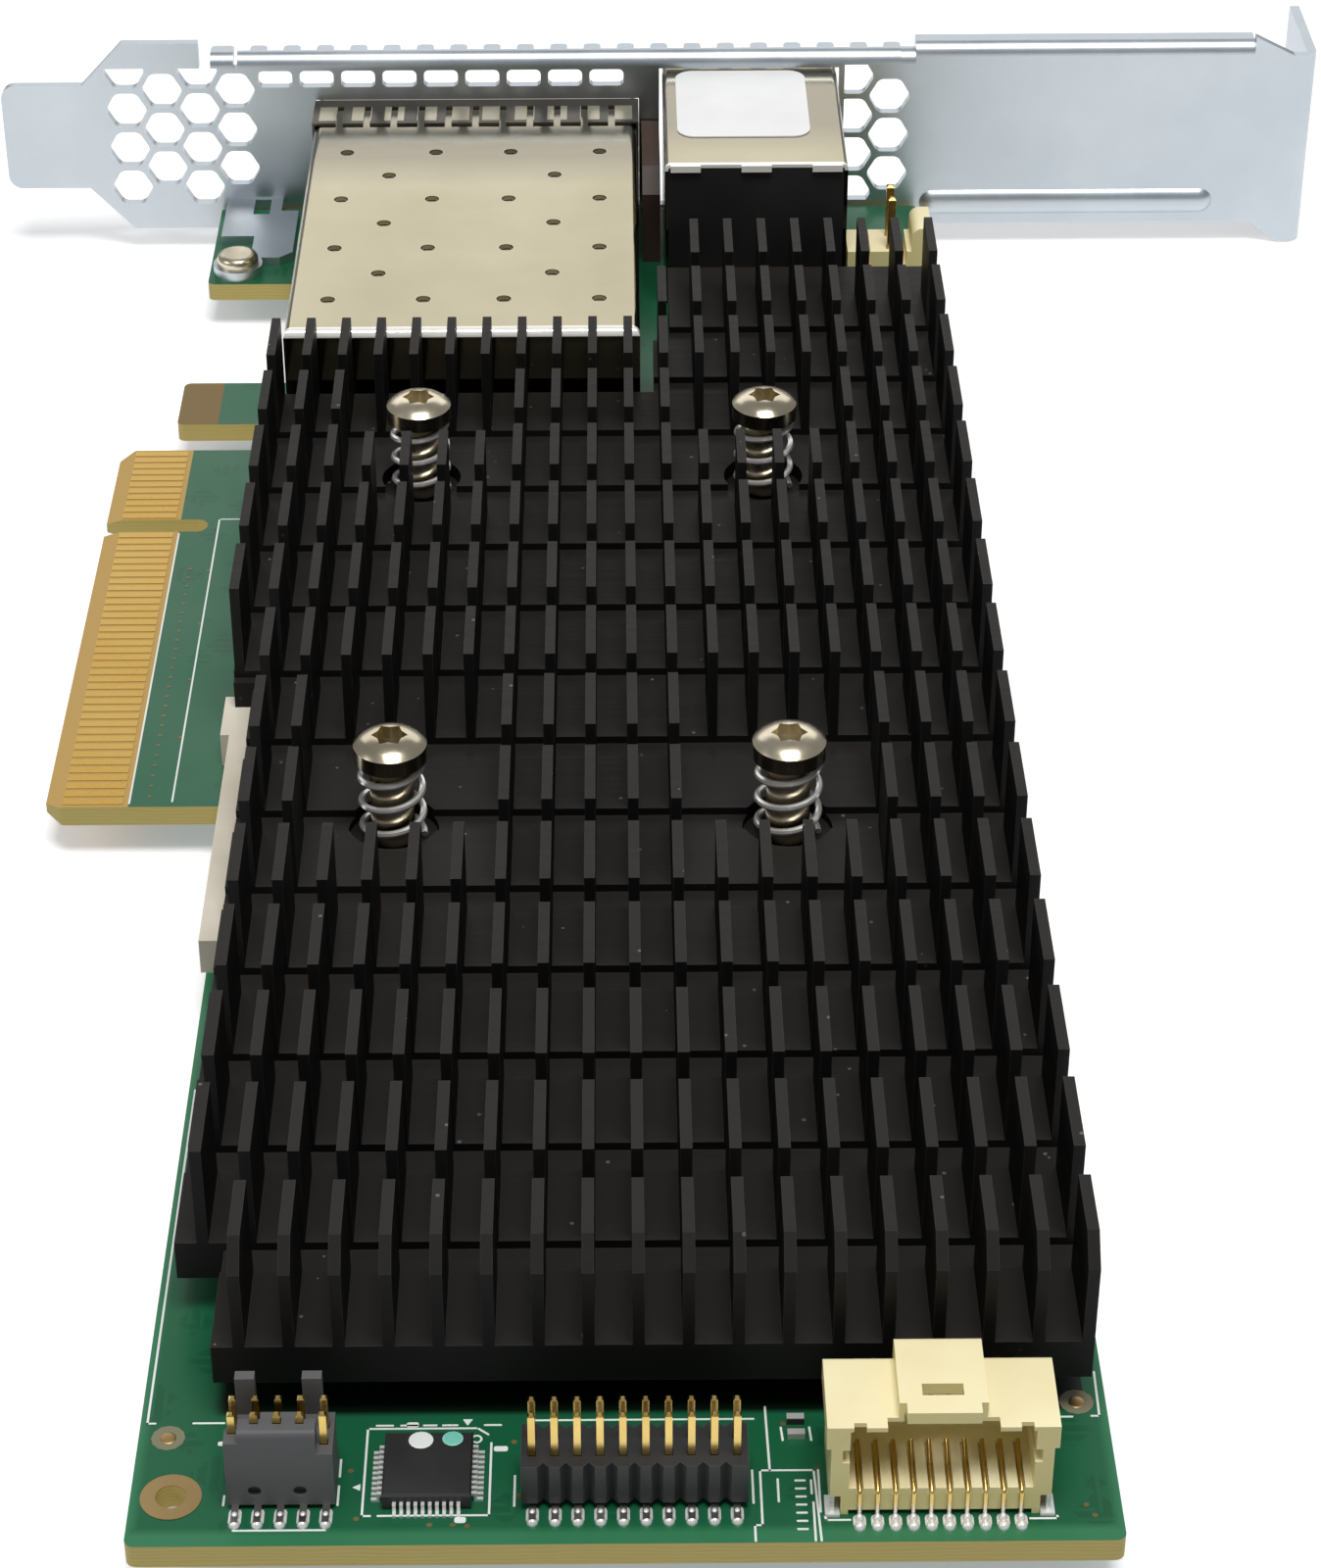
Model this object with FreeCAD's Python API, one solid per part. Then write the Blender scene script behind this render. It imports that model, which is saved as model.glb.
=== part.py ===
import FreeCAD, Part
import math
import os

# A low-profile-height, full-bracket network interface card for a server.
# It lies component side up.  All sizes are in millimetres.
# X runs from the edge contacts towards the card's top edge.
# Y runs along the card towards the mounting bracket.
# Z points away from the component side.
# The origin is the key notch's centre, at the contacts' tips,
# on the board's component face.

# board outline
board_thickness = 1.57
card_height = 68.9
board_front_y = -110.4
body_edge_x = 13.3
tongue_front_y = -39.15
tongue_back_y = 12.15
stub_edge_x = 4.2
stub_gap = 4.35
stub_width = 7.2
slot_root_x = 11.0
tail_edge_x = 4.5
tail_front_y = 42.1
board_to_bracket = 0.5
board_corner_radius = 0.6
tongue_chamfer = 1.1
tip_bevel_length = 1.3
tip_bevel_depth = 0.42
key_width = 1.9
key_depth = 8.25

# edge contacts
contact_pitch = 1.0
contact_width = 0.7
contact_end_x = 5.6
contact_copper = 0.05
contacts_before_key = 11
contacts_after_key = 38
contact_key_offset = 1.5

# holes in the board
corner_hole_x = 15.6
corner_hole_y = -106.65
corner_hole_radius = 0.875
corner_ring_radius = 1.74
board_screw_x = 7.05
board_screw_y = 44.6
board_screw_radius = 1.0
board_screw_head_radius = 1.85
board_screw_head_height = 1.0
board_screw_head_corner = 0.6

# heat sink
sink_right_x = 67.85
sink_left_x = 14.7
sink_wide_left_x = 13.1
sink_wide_front_y = -30.4
sink_corner_x = 17.6
sink_front_y = -100.3
sink_base_bottom = 2.66
sink_base_thickness = 2.74
sink_height = 9.74
sink_back_strip = 4.7
fin_pitch = 2.84
fin_thickness = 0.7
fin_columns = 20
row_pitch = 8.82
row_length = 6.3
fin_rows = 15
trench_depth = 0.6
front_chamfer = 1.6
cage_gap = 1.15
jack_step_inset = 0.2
pocket_columns = 4
pocket_first_columns = (4, 13)
front_pocket_row = 5
back_pocket_row = 11
pocket_side_gap = 0.55
pocket_trim = 1.1

# spring screws that hold the heat sink down
sink_screw_centre_x = 39.05
sink_screw_centre_y = -25.4
sink_screw_spacing_x = 26.9
sink_screw_spacing_y = 47.0
sink_screw_top = 12.5
sink_screw_head_radius = 2.5
sink_screw_head_height = 1.7
sink_screw_dome = 0.55
sink_screw_dome_radius = 2.0
sink_screw_dome_fall = 0.165
sink_screw_shank_radius = 1.5
sink_screw_thread_radius = 1.2
sink_screw_hole_radius = 1.75
sink_screw_recess_radius = 1.25
sink_screw_recess_depth = 0.9
sink_screw_recess_waist = 0.74
counterbore_radius = 3.1
counterbore_depth = 1.2
spring_radius = 2.1
spring_wire = 0.5
spring_pitch = 1.95
spring_wire_sides = 8
nut_flat_radius = 2.4
nut_height = 1.3
thread_clearance = 0.04

# strip of foam between the board and the heat sink
foam_edge_x = 12.95
foam_width = 3.4
foam_front_y = -58.5
foam_back_y = -31.5
foam_hook_width = 0.65
foam_hook_length = 5.0

# chips under the heat sink
controller_side = 25.0
controller_substrate = 0.9
controller_lid_side = 20.0
controller_height = 2.2
phy_side = 14.0
phy_height = 1.5
phy_to_cage_gap = 3.05
phy_y = 12.0
memory_length = 12.0
memory_width = 8.0
memory_height = 1.2
memory_x = 57.0
memory_y = -70.0
memory_gap = 3.0
inductor_side = 6.6
inductor_height = 2.4
inductor_x = 24.5
inductor_y = -72.0
inductor_corner = 1.0
inductor_pitch = 9.0
inductor_count = 3

# twin cage for plug-in optical modules
cage_left_x = 13.85
cage_width = 29.1
cage_back_y = 13.05
cage_below_jack = 2.9
cage_lift = 0.25
cage_sheet = 0.4
cage_nose = 1.2
cage_edge_radius = 0.7
cage_divider_gap = 0.6
cage_floor_length = 30.0
cage_hole_radius = 0.62
cage_hole_pitch = 4.72
cage_hole_rows = 7
cage_hole_offset = 3.95
cage_first_hole = 5.6
cage_foot_width = 0.8
cage_foot_pitch = 9.4
cage_foot_count = 5
module_socket_width = 11.6
module_socket_length = 8.6
module_socket_height = 5.6
module_socket_setback = 1.2
module_slot_width = 9.6
module_slot_height = 1.3
module_slot_bottom = 2.4
module_slot_depth = 5.5

# sprung contact strip round the cage's mouth
gasket_sheet = 0.2
gasket_length = 5.0
gasket_band = 1.4
gasket_finger_gap = 0.6
gasket_top_count = 12
gasket_side_count = 4

# light pipe between the cage and the jack
light_pipe_width = 1.6
light_pipe_height = 8.6
light_pipe_length = 11.5
light_pipe_foot = 2.4
light_pipe_bevel = 1.9

# copper network jack
cage_to_jack_gap = 2.35
jack_width = 15.9
jack_back_y = 37.9
jack_to_lip_gap = 0.5
jack_sheet = 0.3
jack_nose = 0.4
jack_edge_radius = 0.5
jack_lift = 0.25
jack_mouth_width = 11.9
jack_mouth_height = 7.0
jack_mouth_bottom = 3.4
jack_mouth_depth = 12.9
jack_latch_width = 6.2
jack_latch_height = 1.6
jack_catch_width = 3.4
jack_catch_height = 1.2
jack_wire_width = 0.36
jack_wire_pitch = 1.02
jack_wire_count = 8
jack_wire_length = 7.7
jack_wire_drop = 2.8
jack_wire_bend = 1.9
jack_tab_width = 2.6
jack_tab_drop = 0.7
jack_led_width = 2.4
jack_led_height = 1.8
label_width = 11.7
label_length = 14.0
label_thickness = 0.1
label_radius = 1.6
label_setback = 5.6
label_inset = 1.2

# mounting bracket
bracket_inner_y = 57.74
bracket_sheet = 0.9
bracket_bottom_z = -2.07
bracket_width = 18.42
bracket_end_x = -15.04
bracket_length = 120.02
bracket_tab_width = 10.19
bracket_tab_end_x = -7.6
bracket_shoulder_x = -3.75
bracket_tab_radius = 1.3
flange_depth = 11.43
flange_overlap = 2.1
flange_drop = 1.85
flange_root_length = 4.78
flange_slope_x = 2.65
flange_bend_radius = 1.3
flange_notch_width = 4.42
flange_notch_centre = 5.1
port_clearance = 0.25
lip_depth = 2.4
lip_bend_radius = 1.2
lip_comb_drop = 1.25
lip_plain_drop = 0.55
comb_start_x = 4.25
comb_end_x = 67.05
comb_finger_width = 1.55
comb_pitch = 3.035
comb_gap_count = 20
comb_gap_depth = 1.1
comb_finger_corner = 0.45
comb_slit_width = 0.35
lip_plain_start_x = 68.4
lip_end_gap = 1.0
hex_flat = 3.35
hex_web = 0.5
hex_left_x = -3.65
hex_left_columns = 4
hex_left_z = 2.1
hex_left_rows = 4
hex_right_x = 66.1
hex_right_columns = 2
hex_right_z = 3.1
hex_right_rows = 3
hex_margin = 0.45
hex_corner_radius = 0.8
slot_row_start_x = 8.55
slot_row_end_gap = 1.14
slot_row_count = 9
slot_row_width = 3.1
slot_row_height = 1.6
slot_row_corner = 0.48
slot_row_drop = 3.55
bead_start_x = 70.4
bead_end_gap = 9.78
bead_z = 0.1
bead_half_width = 1.2
bead_inner_half_width = 0.95
bead_rise = 0.55
foot_left_x = 5.1
foot_root_width = 5.1
foot_root_length = 2.6
foot_width = 6.7
foot_length = 7.8
foot_arm_width = 3.7
foot_tip_radius = 2.2
foot_corner = 1.1
foot_hole_width = 1.5
foot_hole_length = 3.0
foot_hole_inset = 1.05
foot_hole_setback = 0.3

# ten-pin connector with guide posts, at the front left
link_pin_pitch = 1.27
link_pin_count = 5
link_first_x = 19.33
link_front_y = -107.6
link_left_x = 18.9
link_right_x = 24.9
link_body_depth = 3.3
link_wall_left_x = 19.7
link_wall_right_x = 24.0
link_wall_depth = 1.15
link_wall_step = 0.75
link_core_left_x = 20.95
link_core_right_x = 22.9
link_core_depth = 1.7
link_base_height = 4.2
link_body_height = 5.8
link_body_corner = 0.35
link_lift = 0.35
link_pin_top = 6.4
link_pin_setback = 1.0
link_post_width = 1.1
link_post_depth = 0.65
link_post_height = 6.9
link_post_places = (19.4, 23.15)
link_post_setback = 3.15
link_hole_radius = 0.38
link_hole_depth = 0.45
link_hole_z = 1.4
link_hole_shift = 0.15

# twenty-pin header, at the front middle
strip_pin_count = 10
strip_pin_pitch = 1.27
strip_first_x = 35.93
strip_centre_y = -106.1
strip_body_depth = 3.4
strip_body_bottom = 0.5
strip_body_height = 2.8
strip_pin_top = 6.3
strip_body_notch = 0.35
pin_side = 0.4
pin_tip_share = 0.25
tail_reach = 2.75
tail_height = 0.35

# side-entry wire socket, at the front right
socket_centre_x = 58.65
socket_width = 12.85
socket_front_y = -108.3
socket_depth = 5.7
socket_height = 6.6
socket_block_width = 4.9
socket_block_depth = 6.1
socket_block_height = 7.7
socket_side_wall = 1.3
socket_back_wall = 0.9
socket_roof = 0.3
socket_block_roof = 0.8
socket_floor = 2.0
socket_sill_bottom = 0.35
socket_window_width = 2.3
socket_window_length = 0.9
socket_window_setback = 1.4
socket_edge_radius = 0.4
socket_notches = ((2.05, 3.1, 0.8), (4.25, 4.95, 0.4))
socket_groove_depth = 0.4
socket_groove_low = 3.95
socket_groove_high = 4.9
socket_waist_z = 5.0
socket_waist_step = 0.27
socket_pin_count = 10
socket_pin_pitch = 1.0
socket_pin_side = 0.32
socket_pin_high = 5.95
socket_pin_tip = 1.3
socket_contact_length = 3.4
socket_contact_rise = 0.7
socket_toe = 0.75
socket_tab_width = 0.6
socket_tab_length = 1.3
socket_tab_height = 1.4
socket_tab_sheet = 0.25

# small controller chip in a flat package
micro_x = 30.0
micro_y = -105.2
micro_side = 5.0
micro_height = 1.0
micro_bevel = 0.12
micro_lift = 0.1
micro_leads = 10
micro_lead_pitch = 0.4
micro_lead_width = 0.2
micro_lead_reach = 0.65
micro_lead_knee = 0.3
micro_lead_sheet = 0.15

# tall header by the jack
fan_to_jack_gap = 0.2
fan_width = 7.3
fan_front_y = 38.2
fan_length = 4.4
fan_base_height = 4.8
fan_grooves = ((1.05, 2.0), (4.5, 5.2))
fan_groove_depth = 1.8
fan_wall = 1.7
fan_wall_height = 7.0
fan_wall_corner = 0.9
fan_pin_inset = 3.8
fan_pin_side = 0.64
fan_pin_pitch = 2.54
fan_pin_count = 2
fan_pin_top = 9.6

# small surface-mount parts
chip_length = 1.6
chip_width = 0.8
chip_height = 0.8
chip_end = 0.3
chip_waist = 0.04
chip_rows = 4
chip_columns = 6
chip_pitch = 3.6
flash_length = 5.0
flash_width = 4.0
flash_height = 1.6
flash_x = 59.0
flash_y = -40.0
resistor_length = 1.0
resistor_width = 0.55
resistor_height = 0.4
resistor_x = 50.9
resistor_y = -102.15
resistor_pitch = 1.15

# values worked out from the sizes above
key_radius = key_width / 2
stub_front_y = tongue_back_y + stub_gap
stub_back_y = stub_front_y + stub_width
board_back_y = bracket_inner_y - board_to_bracket
board_bottom_z = -board_thickness
sink_base_top = sink_base_bottom + sink_base_thickness
sink_top = sink_base_bottom + sink_height
trench_floor = sink_base_top - trench_depth
sink_back_y = sink_front_y + (fin_rows - 1) * row_pitch + row_length + sink_back_strip
counterbore_floor = sink_base_top - counterbore_depth
screw_head_bottom = sink_screw_top - sink_screw_head_height
bracket_outer_y = bracket_inner_y + bracket_sheet
bracket_top_z = bracket_bottom_z + bracket_width
flange_x = bracket_end_x + bracket_length
flange_start_x = flange_x - flange_root_length
lip_plain_end_x = flange_start_x - lip_end_gap
bead_end_x = flange_x - bead_end_gap
jack_height = bracket_top_z - lip_comb_drop - lip_bend_radius - jack_to_lip_gap
cage_right_x = cage_left_x + cage_width
cage_front_y = bracket_outer_y + cage_nose
cage_top_z = jack_height - cage_below_jack
cage_inner_top = cage_top_z - cage_sheet
slot_row_z = bracket_top_z - slot_row_drop
slot_row_length = cage_right_x - slot_row_end_gap - slot_row_start_x
slot_row_pitch = (slot_row_length - slot_row_width) / (slot_row_count - 1)
jack_left_x = cage_right_x + cage_to_jack_gap
jack_right_x = jack_left_x + jack_width
jack_front_y = bracket_outer_y + jack_nose
jack_centre_x = jack_left_x + jack_width / 2
jack_step_x = jack_left_x + jack_step_inset
phy_x = cage_right_x + phy_to_cage_gap + phy_side / 2
fan_left_x = jack_right_x + fan_to_jack_gap
fan_pin_x = fan_left_x + fan_pin_inset
socket_left_x = socket_centre_x - socket_width / 2
socket_right_x = socket_centre_x + socket_width / 2
socket_waist_left_x = socket_left_x + socket_waist_step
socket_waist_right_x = socket_right_x - socket_waist_step
overshoot = 1.0


def vec(x, y, z):
    return FreeCAD.Vector(x, y, z)


def block(x0, x1, y0, y1, z0, z1):
    return Part.makeBox(x1 - x0, y1 - y0, z1 - z0, vec(x0, y0, z0))


def centred_block(x, y, width, length, z0, z1):
    return block(x - width / 2, x + width / 2, y - length / 2, y + length / 2, z0, z1)


def post(x, y, z0, z1, radius):
    return Part.makeCylinder(radius, z1 - z0, vec(x, y, z0), vec(0, 0, 1))


def prism(points, direction):
    wire = Part.makePolygon(points + [points[0]])
    return Part.Face(wire).extrude(direction)


def upright_edges(shape, places, axis="z"):
    """Edges parallel to an axis whose other two coordinates match a place."""
    found = []
    for edge in shape.Edges:
        start = edge.Vertexes[0].Point
        end = edge.Vertexes[-1].Point
        along = end - start
        if axis == "z":
            side_ways = math.hypot(along.x, along.y)
            here = (start.x, start.y)
        elif axis == "y":
            side_ways = math.hypot(along.x, along.z)
            here = (start.x, start.z)
        else:
            side_ways = math.hypot(along.y, along.z)
            here = (start.y, start.z)
        if side_ways > 0.001 or along.Length < 0.01:
            continue
        for place in places:
            if abs(here[0] - place[0]) < 0.01 and abs(here[1] - place[1]) < 0.01:
                found.append(edge)
    return found


def save(name, shape):
    shape.exportStep("parts/" + name + ".step")


def group(shapes):
    return Part.makeCompound(shapes)


def sink_screw_places():
    places = []
    for side_x in (-0.5, 0.5):
        for side_y in (-0.5, 0.5):
            x = sink_screw_centre_x + side_x * sink_screw_spacing_x
            y = sink_screw_centre_y + side_y * sink_screw_spacing_y
            places.append((x, y))
    return places


# ---- board ----

def board_outline():
    corners = [
        (body_edge_x, board_front_y), (card_height, board_front_y),
        (card_height, board_back_y), (tail_edge_x, board_back_y),
        (tail_edge_x, tail_front_y), (body_edge_x, tail_front_y),
        (body_edge_x, stub_back_y), (stub_edge_x, stub_back_y),
        (stub_edge_x, stub_front_y), (slot_root_x, stub_front_y),
        (slot_root_x, tongue_back_y), (0, tongue_back_y),
        (0, tongue_front_y), (body_edge_x, tongue_front_y),
    ]
    return [vec(x, y, board_bottom_z) for x, y in corners]


def make_board():
    board = prism(board_outline(), vec(0, 0, board_thickness))
    rounded = [
        (body_edge_x, board_front_y), (card_height, board_front_y),
        (card_height, board_back_y), (tail_edge_x, tail_front_y),
        (stub_edge_x, stub_back_y), (stub_edge_x, stub_front_y),
    ]
    board = board.makeFillet(board_corner_radius, upright_edges(board, rounded))
    tongue_ends = [(0, tongue_back_y), (0, tongue_front_y)]
    board = board.makeChamfer(tongue_chamfer, upright_edges(board, tongue_ends))
    cutters = [tip_wedge(0, -1), tip_wedge(board_bottom_z, 1)]
    notch_end = key_depth - key_radius
    cutters.append(block(-overshoot, notch_end, -key_radius, key_radius,
                         board_bottom_z - overshoot, overshoot))
    cutters.append(post(notch_end, 0, board_bottom_z - overshoot, overshoot, key_radius))
    for x, y in sink_screw_places():
        cutters.append(board_hole(x, y, sink_screw_thread_radius + thread_clearance))
    cutters.append(board_hole(board_screw_x, board_screw_y, board_screw_radius + thread_clearance))
    cutters.append(board_hole(corner_hole_x, corner_hole_y, corner_hole_radius))
    for y in fan_pin_rows():
        cutters.append(board_hole(fan_pin_x, y, fan_pin_side))
    return board.cut(cutters)


def board_hole(x, y, radius):
    return post(x, y, board_bottom_z - overshoot, overshoot, radius)


def tip_wedge(z, side):
    """Bevel that lets the contacts slide into their socket."""
    corners = [
        vec(0, tongue_front_y - overshoot, z),
        vec(tip_bevel_length, tongue_front_y - overshoot, z),
        vec(0, tongue_front_y - overshoot, z + side * tip_bevel_depth),
    ]
    length = tongue_back_y - tongue_front_y + 2 * overshoot
    return prism(corners, vec(0, length, 0))


def contact_places():
    places = []
    for index in range(contacts_before_key):
        places.append(contact_key_offset + index * contact_pitch)
    for index in range(contacts_after_key):
        places.append(-contact_key_offset - index * contact_pitch)
    return places


def make_contacts(z0, z1):
    pads = []
    for y in contact_places():
        pads.append(block(tip_bevel_length, contact_end_x,
                          y - contact_width / 2, y + contact_width / 2, z0, z1))
    return group(pads)


def make_hole_rings():
    """Flat copper ring round the corner hole, on each face of the board."""
    rings = []
    for z in (board_bottom_z - contact_copper, 0):
        ring = post(corner_hole_x, corner_hole_y, z, z + contact_copper, corner_ring_radius)
        rings.append(ring.cut(board_hole(corner_hole_x, corner_hole_y, corner_hole_radius)))
    return group(rings)


def make_board_screw():
    """Pan-head screw that ties the bracket's foot to the board."""
    base = bracket_sheet
    head = post(board_screw_x, board_screw_y, base, base + board_screw_head_height,
                board_screw_head_radius)
    rim = [e for e in head.Edges if abs(e.BoundBox.ZMin - base - board_screw_head_height) < 0.01
           and abs(e.BoundBox.ZMax - base - board_screw_head_height) < 0.01]
    head = head.makeFillet(board_screw_head_corner, rim)
    shank = post(board_screw_x, board_screw_y, board_bottom_z, base, board_screw_radius)
    return head.fuse(shank).removeSplitter()


# ---- heat sink ----

def fin_x(column):
    """Middle of a fin; column 0 is flush with the heat sink's right side."""
    return sink_right_x - fin_thickness / 2 - column * fin_pitch


def row_front(row):
    return sink_front_y + row * row_pitch


def comb_section():
    """End view of the extrusion: a base plate with a fin on every pitch."""
    left = min(sink_wide_left_x, fin_x(fin_columns - 1) - fin_thickness / 2)
    points = [(sink_right_x, sink_base_bottom), (sink_right_x, sink_top)]
    for column in range(fin_columns):
        inner = fin_x(column) - fin_thickness / 2
        if column > 0:
            outer = fin_x(column) + fin_thickness / 2
            points += [(outer, sink_base_top), (outer, sink_top)]
        points += [(inner, sink_top), (inner, sink_base_top)]
    points += [(left - overshoot, sink_base_top), (left - overshoot, sink_base_bottom)]
    return [vec(x, sink_front_y, z) for x, z in points]


def sink_outline_cutters():
    """Blocks that trim the comb to the heat sink's stepped outline."""
    low = sink_base_bottom - overshoot
    high = sink_top + overshoot
    far_left = sink_wide_left_x - fin_pitch - overshoot
    front = sink_front_y - overshoot
    back = sink_back_y + overshoot
    cage_side = cage_right_x + cage_gap
    corner_back = row_front(1)
    last_cage_row = cage_back_y - cage_gap
    jack_row = row_front(fin_rows - 1) - (row_pitch - row_length) / 2
    return [
        block(far_left, sink_wide_left_x, front, back, low, high),
        block(far_left, sink_left_x, front, sink_wide_front_y, low, high),
        block(far_left, sink_corner_x, front, corner_back, low, high),
        block(far_left, cage_side, last_cage_row, back, low, high),
        block(far_left, jack_step_x, jack_row, back, low, high),
    ]


def trench_cutters():
    """Cross-cuts that turn the long fins into rows of short ones."""
    cutters = []
    for row in range(fin_rows - 1):
        start = row_front(row) + row_length
        cutters.append(block(sink_wide_left_x - fin_pitch, sink_right_x + overshoot,
                             start, row_front(row + 1), trench_floor, sink_top + overshoot))
    strip = row_front(fin_rows - 1) + row_length
    cutters.append(block(sink_wide_left_x - fin_pitch, sink_right_x + overshoot,
                         strip, sink_back_y + overshoot, sink_base_top, sink_top + overshoot))
    return cutters


def pocket_cutters():
    """Clearings in the fins round the four spring screws."""
    cutters = []
    gap = row_pitch - row_length
    spans = (
        (row_front(front_pocket_row) - gap, row_front(front_pocket_row + 2)),
        (row_front(back_pocket_row) - gap - pocket_trim, row_front(back_pocket_row + 1) - gap / 2),
    )
    for first in pocket_first_columns:
        right = fin_x(first) + fin_thickness / 2 + pocket_side_gap
        left = fin_x(first + pocket_columns - 1) - fin_thickness / 2 - pocket_side_gap
        for start, end in spans:
            cutters.append(block(left, right, start, end, sink_base_top, sink_top + overshoot))
    return cutters


def make_heat_sink():
    sink = prism(comb_section(), vec(0, sink_back_y - sink_front_y, 0))
    edge = sink_front_y - overshoot
    chamfer = [
        vec(sink_wide_left_x - fin_pitch, edge, sink_top - front_chamfer - overshoot),
        vec(sink_wide_left_x - fin_pitch, edge, sink_top + overshoot),
        vec(sink_wide_left_x - fin_pitch, sink_front_y + front_chamfer + overshoot,
            sink_top + overshoot),
    ]
    cutters = sink_outline_cutters() + trench_cutters() + pocket_cutters()
    cutters.append(prism(chamfer, vec(sink_right_x - sink_wide_left_x + 2 * fin_pitch, 0, 0)))
    for x, y in sink_screw_places():
        cutters.append(post(x, y, sink_base_bottom - overshoot, sink_top, sink_screw_hole_radius))
        cutters.append(post(x, y, counterbore_floor, sink_top + overshoot, counterbore_radius))
    sink = sink.cut(cutters)
    return max(sink.Solids, key=lambda solid: solid.Volume)


def make_sink_screw(x, y):
    """Shouldered screw: domed head with a star recess, shank and thread."""
    head_top = sink_screw_top
    rim = head_top - sink_screw_dome
    thread_end = board_bottom_z - nut_height
    profile = [
        vec(0, 0, thread_end), vec(sink_screw_thread_radius, 0, thread_end),
        vec(sink_screw_thread_radius, 0, 0), vec(sink_screw_shank_radius, 0, 0),
        vec(sink_screw_shank_radius, 0, screw_head_bottom),
        vec(sink_screw_head_radius, 0, screw_head_bottom),
        vec(sink_screw_head_radius, 0, rim),
    ]
    edges = [Part.LineSegment(a, b).toShape() for a, b in zip(profile, profile[1:])]
    shoulder = vec(sink_screw_dome_radius, 0, head_top - sink_screw_dome_fall)
    centre_top = vec(0, 0, head_top)
    edges.append(Part.Arc(profile[-1], shoulder, centre_top).toShape())
    edges.append(Part.LineSegment(centre_top, profile[0]).toShape())
    screw = Part.Face(Part.Wire(edges)).revolve(vec(0, 0, 0), vec(0, 0, 1), 360)
    screw = screw.cut(star_recess())
    screw.translate(vec(x, y, 0))
    return screw


def star_recess():
    points = []
    for index in range(12):
        angle = index * math.pi / 6
        radius = sink_screw_recess_radius
        if index % 2:
            radius = radius * sink_screw_recess_waist
        points.append(vec(radius * math.cos(angle), radius * math.sin(angle),
                          sink_screw_top - sink_screw_recess_depth))
    return prism(points, vec(0, 0, sink_screw_recess_depth + overshoot))


def make_sink_spring(x, y):
    """Wire coil from the counterbore's floor to the underside of the head."""
    half_wire = spring_wire / 2
    height = screw_head_bottom - counterbore_floor - spring_wire
    helix = Part.makeHelix(spring_pitch, height, spring_radius)
    slope = math.atan2(spring_pitch, 2 * math.pi * spring_radius)
    outwards = vec(1, 0, 0)
    across = vec(0, -math.sin(slope), math.cos(slope))
    corners = []
    for index in range(spring_wire_sides + 1):
        angle = 2 * math.pi * index / spring_wire_sides
        corners.append(outwards * (spring_radius + half_wire * math.cos(angle))
                       + across * (half_wire * math.sin(angle)))
    section = Part.makePolygon(corners)
    spring = Part.Wire(helix.Edges).makePipeShell([section], True, True)
    spring = Part.Solid(Part.Shell(spring.Faces))
    spring.translate(vec(x, y, counterbore_floor + half_wire))
    return spring


def hexagon(x, y, z, flat_radius, turn=0.0):
    points = []
    for index in range(6):
        angle = math.radians(60 * index + turn)
        corner = flat_radius / math.cos(math.pi / 6)
        points.append(vec(x + corner * math.cos(angle), y + corner * math.sin(angle), z))
    return points


def make_sink_nut(x, y):
    low = board_bottom_z - nut_height
    nut = prism(hexagon(x, y, low, nut_flat_radius), vec(0, 0, nut_height))
    return nut.cut(board_hole(x, y, sink_screw_thread_radius + thread_clearance)
                   .fuse(post(x, y, low - overshoot, board_bottom_z,
                              sink_screw_thread_radius + thread_clearance)))


def make_foam_strip():
    """Foam that keeps the heat sink's edge level; its back end has a hook."""
    strip = block(foam_edge_x, foam_edge_x + foam_width, foam_front_y, foam_back_y,
                  0, sink_base_bottom)
    hook = block(foam_edge_x - foam_hook_width, foam_edge_x + foam_width,
                 foam_back_y - foam_hook_length / 2, foam_back_y + foam_hook_length / 2,
                 0, sink_base_bottom)
    return strip.fuse(hook).removeSplitter()


# ---- chips ----

def make_controller():
    x, y = sink_screw_centre_x, sink_screw_centre_y
    base = centred_block(x, y, controller_side, controller_side, 0, controller_substrate)
    lid = centred_block(x, y, controller_lid_side, controller_lid_side,
                        controller_substrate, controller_height)
    return base.fuse(lid).removeSplitter()


def make_thermal_pad(x, y, side, low):
    return centred_block(x, y, side, side, low, sink_base_bottom)


def make_memory_chips():
    chips = []
    for index in range(2):
        y = memory_y + index * (memory_width + memory_gap)
        chips.append(centred_block(memory_x, y, memory_length, memory_width, 0, memory_height))
    return group(chips)


def make_inductors():
    coils = []
    for index in range(inductor_count):
        coil = centred_block(inductor_x + index * inductor_pitch, inductor_y,
                             inductor_side, inductor_side, 0, inductor_height)
        corners = [e for e in coil.Edges if e.BoundBox.ZLength > inductor_height - 0.01]
        coils.append(coil.makeFillet(inductor_corner, corners))
    return group(coils)


def chip_places():
    places = []
    for row in range(chip_rows):
        for column in range(chip_columns):
            x = sink_screw_centre_x + (column - (chip_columns - 1) / 2) * chip_pitch
            y = sink_screw_centre_y + (row - (chip_rows - 1) / 2) * chip_pitch
            places.append((x, y))
    return places


def make_back_capacitors():
    """Small capacitors on the solder side, under the main chip."""
    parts = []
    for x, y in chip_places():
        body = centred_block(x, y, chip_width, chip_length,
                             board_bottom_z - chip_height, board_bottom_z)
        for side in (-0.5, 0.5):
            body = body.cut(centred_block(x + side * chip_width, y, 2 * chip_waist,
                                          chip_length - 2 * chip_end,
                                          board_bottom_z - chip_height, board_bottom_z))
        parts.append(body)
    return group(parts)


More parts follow.
